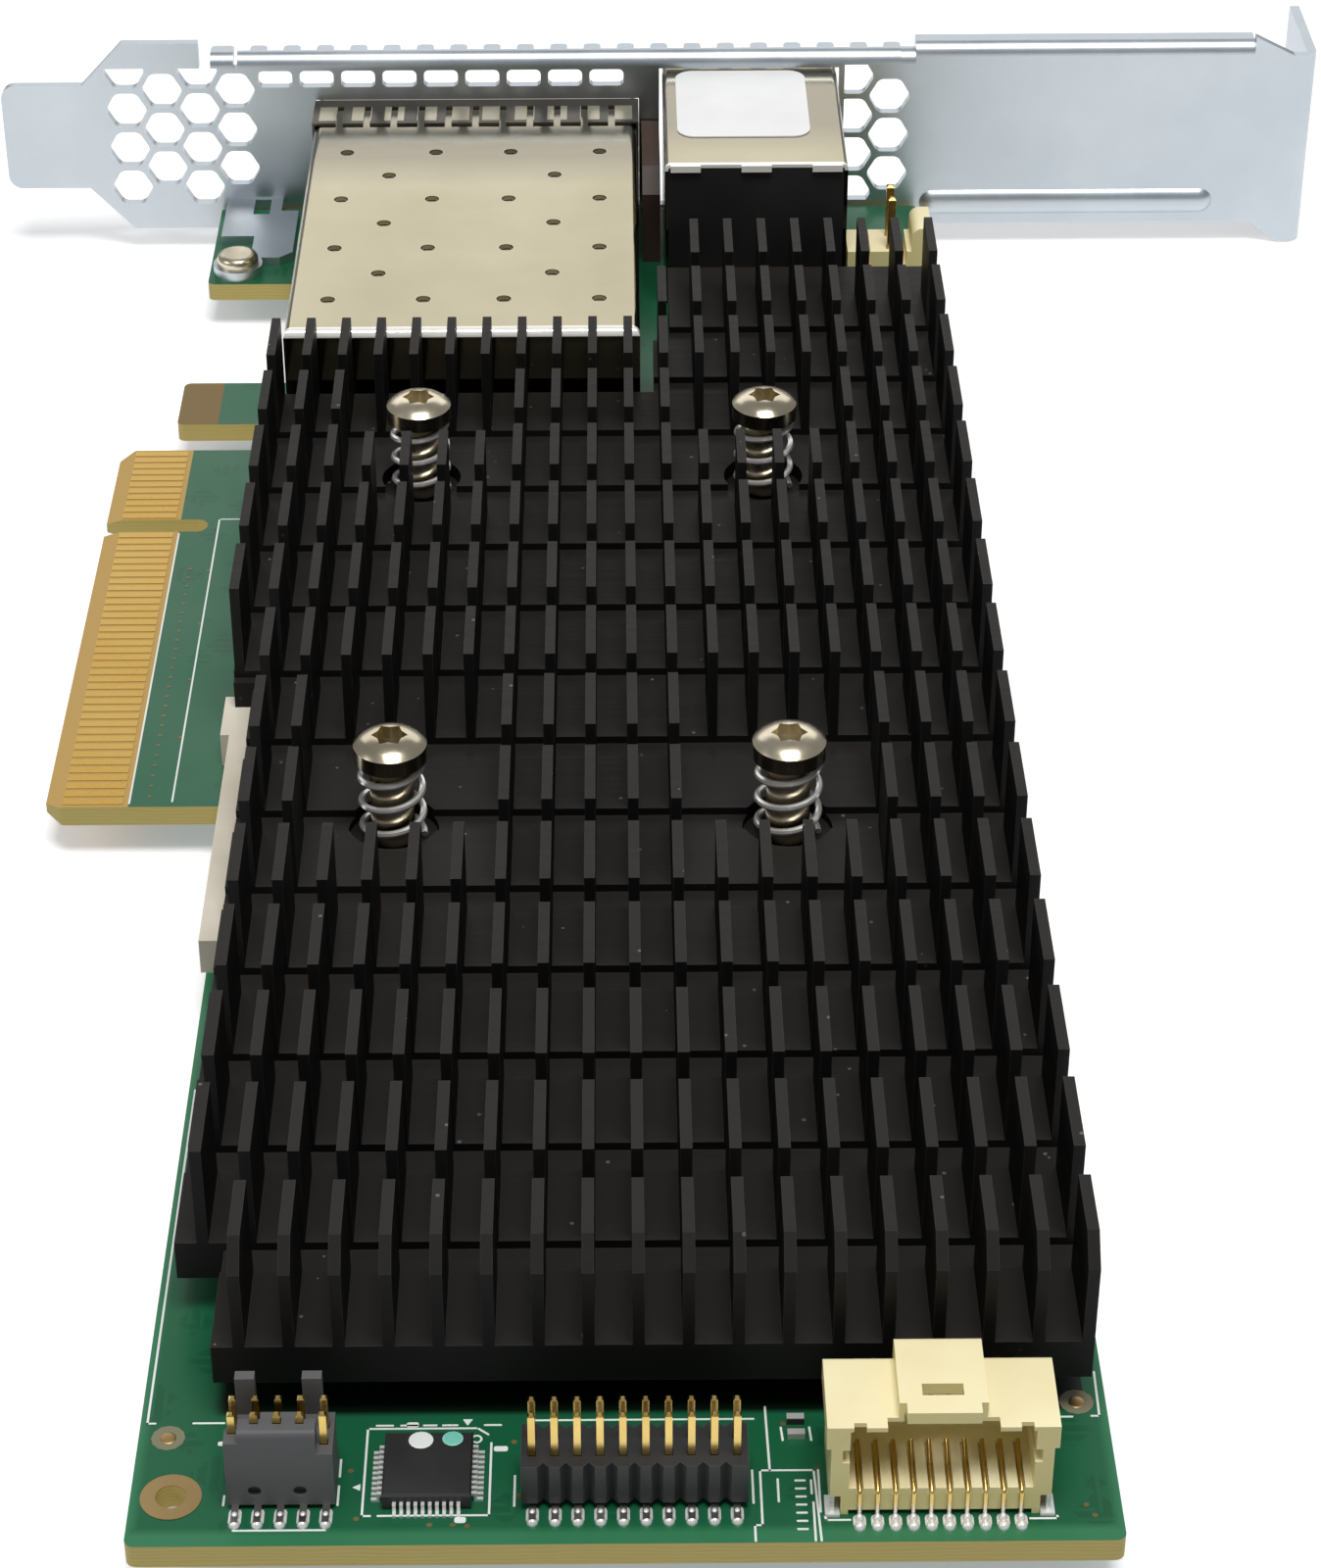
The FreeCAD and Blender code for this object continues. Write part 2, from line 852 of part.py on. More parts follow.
def make_resistors():
    """Two chip resistors beside the wire socket."""
    parts = []
    for index in range(2):
        parts.append(centred_block(resistor_x, resistor_y + index * resistor_pitch,
                                   resistor_length, resistor_width, 0, resistor_height))
    return group(parts)


# ---- module cage ----

def make_cage_cover():
    """Folded cover: top, two sides and back, open below and in front."""
    outer = block(cage_left_x, cage_right_x, cage_back_y, cage_front_y, cage_lift, cage_top_z)
    long_edges = upright_edges(outer, [(cage_left_x, cage_top_z), (cage_right_x, cage_top_z)], "y")
    back_edge = upright_edges(outer, [(cage_back_y, cage_top_z)], "x")
    outer = outer.makeFillet(cage_edge_radius, long_edges + back_edge)
    left, right = cage_left_x + cage_sheet, cage_right_x - cage_sheet
    back = cage_back_y + cage_sheet
    inner = block(left, right, back, cage_front_y + overshoot,
                  cage_lift - overshoot, cage_inner_top)
    inner_edges = upright_edges(inner, [(left, cage_inner_top), (right, cage_inner_top)], "y")
    inner_back = upright_edges(inner, [(back, cage_inner_top)], "x")
    inner = inner.makeFillet(cage_edge_radius - cage_sheet, inner_edges + inner_back)
    cover = outer.cut([inner] + cage_hole_cutters())
    return cover.fuse(cage_feet()).removeSplitter()


def bay_centres():
    quarter = cage_width / 4
    return (cage_left_x + quarter, cage_right_x - quarter)


def cage_hole_cutters():
    """Small round holes in the top: pairs and single ones, row by row."""
    cutters = []
    for centre in bay_centres():
        for row in range(cage_hole_rows):
            y = cage_back_y + cage_first_hole + row * cage_hole_pitch
            offsets = (0,) if row % 2 else (-cage_hole_offset, cage_hole_offset)
            for offset in offsets:
                cutters.append(post(centre + offset, y, cage_inner_top - overshoot,
                                    cage_top_z + overshoot, cage_hole_radius))
    return cutters


def cage_feet():
    """Short feet under both side walls, soldered to the board."""
    feet = []
    first = (cage_back_y + cage_front_y - (cage_foot_count - 1) * cage_foot_pitch) / 2
    for index in range(cage_foot_count):
        y = first + index * cage_foot_pitch
        for x0 in (cage_left_x, cage_right_x - cage_sheet):
            feet.append(block(x0, x0 + cage_sheet, y, y + cage_foot_width, 0, cage_lift))
    return feet


def make_cage_floor():
    side_gap = cage_sheet + thread_clearance
    return block(cage_left_x + side_gap, cage_right_x - side_gap,
                 cage_front_y - cage_floor_length, cage_front_y, 0, cage_sheet)


def make_cage_divider():
    """Double wall between the two bays."""
    middle = cage_left_x + cage_width / 2
    half = cage_divider_gap / 2
    return block(middle - half, middle + half, cage_back_y + cage_edge_radius,
                 cage_front_y - cage_sheet, cage_sheet, cage_inner_top)


def make_module_socket(centre):
    """Card-edge socket at the back of a bay."""
    back = cage_back_y + cage_sheet + module_socket_setback
    front = back + module_socket_length
    half = module_socket_width / 2
    body = block(centre - half, centre + half, back, front, 0, module_socket_height)
    slot = block(centre - module_slot_width / 2, centre + module_slot_width / 2,
                 front - module_slot_depth, front + overshoot,
                 module_slot_bottom, module_slot_bottom + module_slot_height)
    return body.cut(slot)


def gasket_fingers(x0, x1, z0, z1, count):
    """Slits that divide a flat strip into fingers; the strip lies along X or Z."""
    slits = []
    front = bracket_inner_y - gasket_band
    back = bracket_inner_y - gasket_length
    for index in range(1, count):
        share = index / count
        if x1 - x0 > z1 - z0:
            x = x0 + share * (x1 - x0)
            slits.append(block(x - gasket_finger_gap / 2, x + gasket_finger_gap / 2,
                               back - overshoot, front, z0 - overshoot, z1 + overshoot))
        else:
            z = z0 + share * (z1 - z0)
            slits.append(block(x0 - overshoot, x1 + overshoot, back - overshoot, front,
                               z - gasket_finger_gap / 2, z + gasket_finger_gap / 2))
    return slits


def make_cage_gasket():
    """Sprung strip that closes the gap between the cage and the bracket."""
    front = bracket_inner_y
    back = bracket_inner_y - gasket_length
    left, right = cage_left_x - gasket_sheet, cage_right_x + gasket_sheet
    top = cage_top_z + gasket_sheet
    outer = block(left, right, back, front, cage_lift, top)
    inner = block(cage_left_x, cage_right_x, back - overshoot, front + overshoot,
                  cage_lift - overshoot, cage_top_z)
    strip = outer.cut(inner)
    slits = gasket_fingers(left, right, cage_top_z, top, gasket_top_count)
    slits += gasket_fingers(left, cage_left_x, cage_lift, cage_top_z, gasket_side_count)
    slits += gasket_fingers(cage_right_x, right, cage_lift, cage_top_z, gasket_side_count)
    return strip.cut(slits)


def make_light_pipe():
    """Clear bar that carries the port lamps' light to the bracket."""
    middle = (cage_right_x + gasket_sheet + jack_left_x) / 2
    x0, x1 = middle - light_pipe_width / 2, middle + light_pipe_width / 2
    front = bracket_inner_y - port_clearance
    back = front - light_pipe_length
    bar = block(x0, x1, back, front, light_pipe_height / 2, light_pipe_height)
    foot = block(x0, x1, back, back + light_pipe_foot, 0, light_pipe_height)
    pipe = bar.fuse(foot).removeSplitter()
    bend = upright_edges(pipe, [(back, light_pipe_height)], "x")
    return pipe.makeChamfer(light_pipe_bevel, bend)


# ---- network jack ----

def make_jack_shield():
    """Folded metal shell: top, sides and front frame, open below and behind."""
    outer = block(jack_left_x, jack_right_x, jack_back_y, jack_front_y, jack_lift, jack_height)
    edges = upright_edges(outer, [(jack_left_x, jack_height), (jack_right_x, jack_height)], "y")
    outer = outer.makeFillet(jack_edge_radius, edges)
    left, right = jack_left_x + jack_sheet, jack_right_x - jack_sheet
    top = jack_height - jack_sheet
    inner = block(left, right, jack_back_y - overshoot, jack_front_y - jack_sheet,
                  jack_lift - overshoot, top)
    inner_edges = upright_edges(inner, [(left, top), (right, top)], "y")
    inner = inner.makeFillet(jack_edge_radius - jack_sheet, inner_edges)
    half = jack_mouth_width / 2
    mouth = block(jack_centre_x - half, jack_centre_x + half, jack_front_y - 2 * jack_sheet,
                  jack_front_y + overshoot, jack_mouth_bottom,
                  jack_mouth_bottom + jack_mouth_height)
    shield = outer.cut([inner, mouth, jack_latch_cutter(), *jack_led_cutters()])
    return shield.fuse(jack_tabs()).removeSplitter()


def jack_latch_cutter():
    """Stepped recess below the mouth for the plug's latch."""
    half = jack_latch_width / 2
    catch = jack_catch_width / 2
    low = jack_mouth_bottom - jack_latch_height
    wide = block(jack_centre_x - half, jack_centre_x + half, jack_front_y - jack_mouth_depth,
                 jack_front_y + overshoot, low, jack_mouth_bottom + overshoot)
    narrow = block(jack_centre_x - catch, jack_centre_x + catch, jack_front_y - jack_mouth_depth,
                   jack_front_y + overshoot, low - jack_catch_height, low + overshoot)
    return wide.fuse(narrow)


def jack_led_places():
    inset = jack_sheet + jack_led_width / 2 + jack_edge_radius
    return (jack_left_x + inset, jack_right_x - inset)


def jack_led_cutters():
    low = jack_mouth_bottom - jack_latch_height - jack_catch_height / 2
    return [block(x - jack_led_width / 2, x + jack_led_width / 2,
                  jack_front_y - 2 * jack_sheet, jack_front_y + overshoot,
                  low, low + jack_led_height) for x in jack_led_places()]


def make_jack_leds():
    low = jack_mouth_bottom - jack_latch_height - jack_catch_height / 2
    gap = thread_clearance
    return group([block(x - jack_led_width / 2 + gap, x + jack_led_width / 2 - gap,
                        jack_front_y - jack_sheet, jack_front_y,
                        low + gap, low + jack_led_height - gap) for x in jack_led_places()])


def jack_tabs():
    """Three tabs folded down over the housing's back."""
    tabs = []
    spread = jack_width / 2 - jack_tab_width / 2 - jack_edge_radius
    for place in (-1, 0, 1):
        x = jack_centre_x + place * spread
        tabs.append(block(x - jack_tab_width / 2, x + jack_tab_width / 2,
                          jack_back_y - jack_sheet, jack_back_y,
                          jack_height - jack_tab_drop, jack_height))
    return tabs


def make_jack_housing():
    gap = jack_sheet + thread_clearance
    left, right = jack_left_x + gap, jack_right_x - gap
    front = jack_front_y - gap
    top = jack_height - gap
    body = block(left, right, jack_back_y, front, 0, top)
    body = body.makeFillet(jack_edge_radius, upright_edges(body, [(left, top), (right, top)], "y"))
    half = jack_mouth_width / 2
    mouth = block(jack_centre_x - half, jack_centre_x + half, jack_front_y - jack_mouth_depth,
                  jack_front_y + overshoot, jack_mouth_bottom,
                  jack_mouth_bottom + jack_mouth_height)
    return body.cut([mouth, jack_latch_cutter()])


def make_jack_wires():
    """Sloping contact wires in the roof of the mouth."""
    wires = []
    thick = jack_wire_width
    back = jack_front_y - jack_mouth_depth
    roof = jack_mouth_bottom + jack_mouth_height
    low = roof - jack_wire_drop
    tip = back + jack_wire_length
    first = jack_centre_x - (jack_wire_count - 1) / 2 * jack_wire_pitch
    for index in range(jack_wire_count):
        x0 = first + index * jack_wire_pitch - thick / 2
        section = [
            vec(x0, back, roof), vec(x0, back, roof - thick),
            vec(x0, back + jack_wire_bend, low), vec(x0, back + jack_wire_bend + 2 * thick, low),
            vec(x0, tip, roof - thick), vec(x0, tip, roof), vec(x0, tip - thick, roof),
            vec(x0, back + jack_wire_bend + thick, low + 2 * thick), vec(x0, back + thick, roof),
        ]
        wires.append(prism(section, vec(thick, 0, 0)))
    return group(wires)


def make_jack_label():
    left = jack_left_x + label_inset
    back = jack_back_y + label_setback
    label = block(left, left + label_width, back, back + label_length,
                  jack_height, jack_height + label_thickness)
    corners = [e for e in label.Edges if abs(e.BoundBox.ZLength - label_thickness) < 0.01]
    return label.makeFillet(label_radius, corners)


# ---- bracket ----

def bracket_sheet_outline():
    tab_low = bracket_bottom_z + (bracket_width - bracket_tab_width) / 2
    tab_high = tab_low + bracket_tab_width
    flange_low = bracket_bottom_z - flange_overlap
    flange_high = bracket_top_z - flange_drop
    slope_end = flange_start_x + flange_slope_x
    points = [
        (bracket_end_x, tab_low), (bracket_tab_end_x, tab_low),
        (bracket_shoulder_x, bracket_bottom_z), (flange_start_x, bracket_bottom_z),
        (slope_end, flange_low), (flange_x, flange_low),
        (flange_x, flange_high), (slope_end, flange_high),
        (lip_plain_end_x, bracket_top_z), (bracket_shoulder_x, bracket_top_z),
        (bracket_tab_end_x, tab_high), (bracket_end_x, tab_high),
    ]
    return [vec(x, bracket_inner_y, z) for x, z in points]


def lip(x0, x1, top_z):
    """Edge bent outwards: a quarter bend and a short flat."""
    r_out = lip_bend_radius
    r_in = lip_bend_radius - bracket_sheet
    y0 = bracket_inner_y
    centre_z = top_z - r_out
    turn = math.sqrt(0.5)
    a = vec(x0, y0, centre_z)
    b = vec(x0, y0 + r_out, top_z)
    c = vec(x0, y0 + lip_depth, top_z)
    d = vec(x0, y0 + lip_depth, top_z - bracket_sheet)
    e = vec(x0, y0 + r_out, top_z - bracket_sheet)
    f = vec(x0, y0 + bracket_sheet, centre_z)
    outer_middle = vec(x0, y0 + r_out - r_out * turn, centre_z + r_out * turn)
    inner_middle = vec(x0, y0 + r_out - r_in * turn, centre_z + r_in * turn)
    wire = Part.Wire([
        Part.Arc(a, outer_middle, b).toShape(), Part.LineSegment(b, c).toShape(),
        Part.LineSegment(c, d).toShape(), Part.LineSegment(d, e).toShape(),
        Part.Arc(e, inner_middle, f).toShape(), Part.LineSegment(f, a).toShape(),
    ])
    return Part.Face(wire).extrude(vec(x1 - x0, 0, 0))


def hex_cutter(x, z, flat):
    corner = flat / 2 / math.cos(math.pi / 6)
    points = []
    for index in range(6):
        angle = math.radians(60 * index)
        points.append(vec(x + corner * math.cos(angle), bracket_inner_y - overshoot,
                          z + corner * math.sin(angle)))
    hole = prism(points, vec(0, bracket_sheet + 2 * overshoot, 0))
    sides = [e for e in hole.Edges if e.BoundBox.YLength > bracket_sheet]
    return hole.makeFillet(hex_corner_radius, sides)


def hex_field(first_x, first_z, columns, rows, step, window):
    """Honeycomb of holes; the cells that cross the window's edge are trimmed."""
    cutters = []
    pitch = hex_flat + hex_web
    for column in range(columns):
        shift = pitch / 2 if column % 2 else 0
        for row in range(-1, rows + 1):
            x = first_x + step * column * pitch * math.sqrt(0.75)
            z = first_z + row * pitch + shift
            if z < window[2] or z > window[3]:
                continue
            cell = hex_cutter(x, z, hex_flat)
            cell = cell.common(block(window[0], window[1], bracket_inner_y - 2 * overshoot,
                                     bracket_outer_y + 2 * overshoot, window[2], window[3]))
            if cell.Volume > 1:
                cutters.append(cell)
    return cutters


def bracket_vents():
    top = bracket_top_z - lip_comb_drop - lip_bend_radius
    low = bracket_bottom_z + 2 * hex_margin + board_thickness
    left_window = (bracket_tab_end_x, cage_left_x - 2 * port_clearance - hex_web, low, top)
    right_window = (jack_right_x + port_clearance + hex_web, card_height, low, top)
    cutters = hex_field(hex_left_x, hex_left_z, hex_left_columns, hex_left_rows, 1, left_window)
    cutters += hex_field(hex_right_x, hex_right_z, hex_right_columns, hex_right_rows, -1,
                         right_window)
    half = slot_row_width / 2
    low = slot_row_z - slot_row_height / 2
    for index in range(slot_row_count):
        x = slot_row_start_x + half + index * slot_row_pitch
        slot = block(x - half, x + half, bracket_inner_y - overshoot,
                     bracket_outer_y + overshoot, low, low + slot_row_height)
        corners = [e for e in slot.Edges if e.BoundBox.YLength > bracket_sheet]
        cutters.append(slot.makeFillet(slot_row_corner, corners))
    return cutters


def port_cutters():
    low = bracket_inner_y - overshoot
    high = bracket_outer_y + overshoot
    gap = port_clearance
    cage = block(cage_left_x - gap, cage_right_x + gap, low, high, cage_lift - gap,
                 cage_top_z + gap)
    jack = block(jack_left_x - gap, jack_right_x + gap, low, high, jack_lift - gap,
                 jack_height + gap)
    return [cage, jack]


def make_comb_lip(top_z):
    """Lip whose free edge is a row of short fingers, with a slit at each end."""
    comb = lip(comb_start_x, comb_end_x, top_z)
    tip = bracket_inner_y + lip_depth
    low, high = top_z - lip_bend_radius, top_z + overshoot
    gap = comb_pitch - comb_finger_width
    cutters = []
    tip_corners = [(comb_start_x, tip), (comb_end_x, tip)]
    for index in range(comb_gap_count):
        x1 = comb_end_x - comb_finger_width - index * comb_pitch
        x0 = x1 - gap
        cutters.append(block(x0, x1, tip - comb_gap_depth, tip + overshoot, low, high))
        tip_corners += [(x0, tip), (x1, tip)]
    cutters.append(block(x0, x0 + comb_slit_width, bracket_inner_y - overshoot,
                         tip + overshoot, low, high))
    comb = comb.cut(cutters)
    return comb.makeFillet(comb_finger_corner, upright_edges(comb, tip_corners))


def make_top_flange():
    """Ear bent off the bracket's end, with the notch for the case screw."""
    x1 = flange_x
    x0 = x1 - bracket_sheet
    low = bracket_bottom_z - flange_overlap
    high = bracket_top_z - flange_drop
    ear = block(x0, x1, bracket_inner_y, bracket_inner_y + flange_depth, low, high)
    notch_y = bracket_inner_y + flange_depth / 2
    notch_r = flange_notch_width / 2
    notch_z = low + flange_notch_centre
    notch = block(x0 - overshoot, x1 + overshoot, notch_y - notch_r, notch_y + notch_r,
                  low - overshoot, notch_z)
    round_end = Part.makeCylinder(notch_r, bracket_sheet + 2 * overshoot,
                                  vec(x0 - overshoot, notch_y, notch_z), vec(1, 0, 0))
    return ear.cut([notch, round_end])


def stiffening_bead(rise, half_width, y_face):
    """Long rib with round ends, as a solid that crosses the given face."""
    radius = (half_width ** 2 + rise ** 2) / (2 * rise)
    axis_y = y_face - rise + radius
    rib = Part.makeCylinder(radius, bead_end_x - bead_start_x,
                            vec(bead_start_x, axis_y, bead_z), vec(1, 0, 0))
    ball_1 = Part.makeSphere(radius, vec(bead_start_x, axis_y, bead_z))
    ball_2 = Part.makeSphere(radius, vec(bead_end_x, axis_y, bead_z))
    rib = rib.fuse([ball_1, ball_2])
    return rib.common(block(bead_start_x - radius, bead_end_x + radius,
                            y_face - rise - overshoot, y_face + bracket_sheet / 3,
                            bead_z - radius, bead_z + radius))


def make_bracket_foot():
    """Foot bent off the sheet; its arm lies on the board under a screw."""
    right = foot_left_x + foot_width
    root_right = foot_left_x + foot_root_width
    shelf_y = bracket_inner_y - foot_length
    arm_y = board_screw_y + overshoot
    root = block(foot_left_x, root_right, shelf_y, bracket_inner_y + bracket_sheet / 2,
                 0, bracket_sheet)
    shelf = block(foot_left_x, right, shelf_y, bracket_inner_y - foot_root_length,
                  0, bracket_sheet)
    arm = block(right - foot_arm_width, right, arm_y, shelf_y, 0, bracket_sheet)
    arm = arm.makeChamfer(foot_corner, upright_edges(arm, [(right, arm_y)]))
    bridge = block(board_screw_x, right - foot_arm_width, arm_y,
                   board_screw_y + foot_tip_radius, 0, bracket_sheet)
    tip = post(board_screw_x, board_screw_y, 0, bracket_sheet, foot_tip_radius)
    foot = root.fuse([shelf, arm, bridge, tip])
    window_right = root_right - foot_hole_inset
    window_front = bracket_inner_y - foot_hole_setback - foot_hole_length
    window = block(window_right - foot_hole_width, window_right, window_front,
                   window_front + foot_hole_length, -overshoot, 2 * overshoot)
    hole = board_hole(board_screw_x, board_screw_y, board_screw_radius + thread_clearance)
    return foot.cut([window, hole])


def make_bracket():
    plate = prism(bracket_sheet_outline(), vec(0, bracket_sheet, 0))
    tab_low = bracket_bottom_z + (bracket_width - bracket_tab_width) / 2
    tab_high = tab_low + bracket_tab_width
    ends = [(bracket_end_x, tab_low), (bracket_end_x, tab_high)]
    plate = plate.makeFillet(bracket_tab_radius, upright_edges(plate, ends, "y"))
    far = 2 * overshoot
    comb_top = bracket_top_z - lip_comb_drop
    plain_top = bracket_top_z - lip_plain_drop
    plate = plate.cut([
        block(comb_start_x - overshoot, lip_plain_start_x, bracket_inner_y - far,
              bracket_outer_y + far, comb_top - lip_bend_radius, bracket_top_z + far),
        block(lip_plain_start_x, lip_plain_end_x, bracket_inner_y - far,
              bracket_outer_y + far, plain_top - lip_bend_radius, bracket_top_z + far),
    ])
    bracket = plate.fuse([
        make_top_flange(), make_bracket_foot(),
        make_comb_lip(comb_top), lip(lip_plain_start_x, lip_plain_end_x, plain_top),
    ]).removeSplitter()
    bend = upright_edges(bracket, [(flange_x, bracket_inner_y)])
    bracket = bracket.makeFillet(flange_bend_radius, bend)
    bracket = bracket.cut(bracket_vents() + port_cutters())
    bracket = bracket.fuse(stiffening_bead(bead_rise, bead_half_width, bracket_inner_y))
    groove = stiffening_bead(bead_rise, bead_inner_half_width, bracket_outer_y)
    return bracket.cut(groove).removeSplitter()


# ---- headers and sockets on the board's front edge ----

def bent_pin(x, y, top, tail_y):
    """Square pin whose foot turns outwards along the board."""
    half = pin_side / 2
    upright = block(x - half, x + half, y - half, y + half, 0, top)
    low, high = min(y, tail_y), max(y, tail_y)
    foot = block(x - half, x + half, low, high, 0, tail_height)
    return bevelled_tip(upright.fuse(foot).removeSplitter(), top, pin_side)


def bevelled_tip(pin, top, side):
    tips = [e for e in pin.Edges if abs(e.BoundBox.ZMin - top) < 0.01]
    return pin.makeChamfer(side * pin_tip_share, tips)


def link_pin_rows():
    centre = link_front_y + link_pin_setback + link_pin_pitch / 2
    return centre, (-link_pin_pitch / 2, link_pin_pitch / 2)


def make_link_body():
    """Low base with a thin front wall, a core and two guide posts behind."""
    front = link_front_y
    base = block(link_left_x, link_right_x, front, front + link_body_depth,
                 link_lift, link_base_height)
    wall = block(link_left_x, link_wall_right_x, front, front + link_wall_depth,
                 link_lift, link_body_height)
    step = block(link_left_x - overshoot, link_wall_left_x, front - overshoot,
                 front + link_wall_depth + overshoot, link_body_height - link_wall_step,
                 link_body_height + overshoot)
    core = block(link_core_left_x, link_core_right_x, front, front + link_core_depth,
                 link_lift, link_body_height)
    post_front = front + link_post_setback
    posts = [block(x, x + link_post_width, post_front, post_front + link_post_depth,
                   link_lift, link_post_height) for x in link_post_places]
    body = base.fuse([wall, core] + posts).cut(step).removeSplitter()
    body = body.makeFillet(link_body_corner, upright_edges(body, [(front, link_body_height)], "x"))
    cutters = []
    for index in (1, 3):
        x = link_first_x + index * link_pin_pitch - link_hole_shift
        cutters.append(Part.makeCylinder(link_hole_radius, link_hole_depth + overshoot,
                                         vec(x, front - overshoot, link_hole_z), vec(0, 1, 0)))
    half = pin_side / 2 + thread_clearance
    centre, offsets = link_pin_rows()
    for index in range(link_pin_count):
        x = link_first_x + index * link_pin_pitch
        for offset in offsets:
            y = centre + offset
            cutters.append(block(x - half, x + half, y - half, y + half,
                                 link_lift - overshoot, link_body_height + overshoot))
    return body.cut(cutters)


def make_link_pins():
    pins = []
    centre, offsets = link_pin_rows()
    for index in range(link_pin_count):
        x = link_first_x + index * link_pin_pitch
        for offset in offsets:
            pins.append(bent_pin(x, centre + offset, link_pin_top,
                                 centre + math.copysign(tail_reach + pin_side / 2, offset)))
    return group(pins)


def make_strip_body():
    """Moulded bar with a notch between neighbouring pins."""
    half = strip_body_depth / 2
    left = strip_first_x - strip_pin_pitch / 2
    right = left + strip_pin_count * strip_pin_pitch
    body = block(left, right, strip_centre_y - half, strip_centre_y + half,
                 strip_body_bottom, strip_body_bottom + strip_body_height)
    cutters = []
    for index in range(1, strip_pin_count):
        x = left + index * strip_pin_pitch
        for side in (-1, 1):
            y = strip_centre_y + side * half
            cutters.append(prism([
                vec(x - strip_body_notch, y + side * 0.01, strip_body_bottom - overshoot),
                vec(x + strip_body_notch, y + side * 0.01, strip_body_bottom - overshoot),
                vec(x, y - side * strip_body_notch, strip_body_bottom - overshoot),
            ], vec(0, 0, strip_body_height + 2 * overshoot)))
    side_gap = pin_side / 2 + thread_clearance
    for index in range(strip_pin_count):
        x = strip_first_x + index * strip_pin_pitch
        for offset in (-0.5, 0.5):
            y = strip_centre_y + offset * strip_pin_pitch
            cutters.append(block(x - side_gap, x + side_gap, y - side_gap, y + side_gap,
                                 0, strip_body_bottom + strip_body_height + overshoot))
    return body.cut(cutters)


def make_strip_pins():
    pins = []
    for index in range(strip_pin_count):
        x = strip_first_x + index * strip_pin_pitch
        for offset in (-0.5, 0.5):
            y = strip_centre_y + offset * strip_pin_pitch
            tail = strip_centre_y + math.copysign(tail_reach, offset)
            pins.append(bent_pin(x, y, strip_pin_top, tail))
    return group(pins)


def make_socket_body():
    """Shroud open at the front, with a raised block and a latch window."""
    front = socket_front_y
    back, block_back = front + socket_depth, front + socket_block_depth
    deep = back - socket_back_wall
    middle = socket_centre_x
    half_block = socket_block_width / 2
    half_key = half_block - socket_roof
    near, far = front - overshoot, block_back + overshoot
    body = block(socket_left_x, socket_right_x, front, back, 0, socket_height)
    body = body.fuse(block(middle - half_block, middle + half_block, front, block_back,
                           0, socket_block_height)).removeSplitter()
    top_back = upright_edges(body, [(back, socket_height), (block_back, socket_block_height)], "x")
    body = body.makeFillet(socket_edge_radius, top_back)
    inner_left = socket_left_x + socket_side_wall
    inner_right = socket_right_x - socket_side_wall
    window_y = front + socket_window_setback
    key_top = socket_block_height - socket_block_roof
    cutters = [
        block(inner_left, inner_right, near, deep, socket_floor, socket_height - socket_roof),
        block(middle - half_key, middle + half_key, near, deep, socket_floor, key_top),
        block(inner_left, inner_right, near, far, -overshoot, socket_sill_bottom),
        block(inner_left - socket_groove_depth, inner_right + socket_groove_depth, near, deep,
              socket_groove_low, socket_groove_high),
        block(middle - socket_window_width / 2, middle + socket_window_width / 2, window_y,
              window_y + socket_window_length, key_top - overshoot, socket_block_height + overshoot),
        block(socket_waist_right_x, socket_right_x + overshoot, near, far,
              -overshoot, socket_waist_z),
        block(socket_left_x - overshoot, socket_waist_left_x, near, far,
              -overshoot, socket_waist_z),
        block(socket_waist_left_x, socket_waist_left_x + socket_tab_width, near,
              front + socket_tab_length, -overshoot, socket_tab_height),
        block(socket_waist_right_x - socket_tab_width, socket_waist_right_x, near,
              front + socket_tab_length, -overshoot, socket_tab_height),
    ]
    for inner, outer, depth in socket_notches:
        for x0, x1 in ((middle + inner, middle + outer), (middle - outer, middle - inner)):
            cutters.append(block(x0, x1, near, front + depth, socket_waist_z,
                                 socket_block_height + overshoot))
    gap = socket_pin_side / 2 + thread_clearance
    for x in socket_pin_places():
        cutters.append(block(x - gap, x + gap, near, front + socket_contact_length + gap,
                             socket_floor - 2 * gap, socket_floor + overshoot))
        cutters.append(block(x - gap, x + gap, deep - overshoot, far,
                             socket_pin_high - gap, socket_pin_high + gap))
    return body.cut(cutters)


def socket_pin_places():
    first = socket_centre_x - (socket_pin_count - 1) / 2 * socket_pin_pitch
    return [first + index * socket_pin_pitch for index in range(socket_pin_count)]


def make_socket_pins():
    """Lower contacts with feet in front; upper pins with legs behind."""
    pins = []
    side = socket_pin_side
    half = side / 2
    front = socket_front_y
    rear = front + socket_contact_length
    leg_back = front + socket_block_depth + 2 * side
    for x in socket_pin_places():
        bar = block(x - half, x + half, front - side, rear, socket_floor - side, socket_floor)
        leg = block(x - half, x + half, front - side, front, 0, socket_floor)
        toe = block(x - half, x + half, front - side - socket_toe, front, 0, side)
        ramp = prism([
            vec(x - half, rear - 2 * socket_contact_rise, socket_floor - half),
            vec(x - half, rear, socket_floor + socket_contact_rise),
            vec(x - half, rear, socket_floor - half),
        ], vec(side, 0, 0))
        pins.append(bar.fuse([leg, toe, ramp]).removeSplitter())
        upper = block(x - half, x + half, front + socket_pin_tip, leg_back,
                      socket_pin_high - half, socket_pin_high + half)
        drop = block(x - half, x + half, leg_back - side, leg_back, 0, socket_pin_high + half)
        pins.append(upper.fuse(drop).removeSplitter())
    return group(pins)


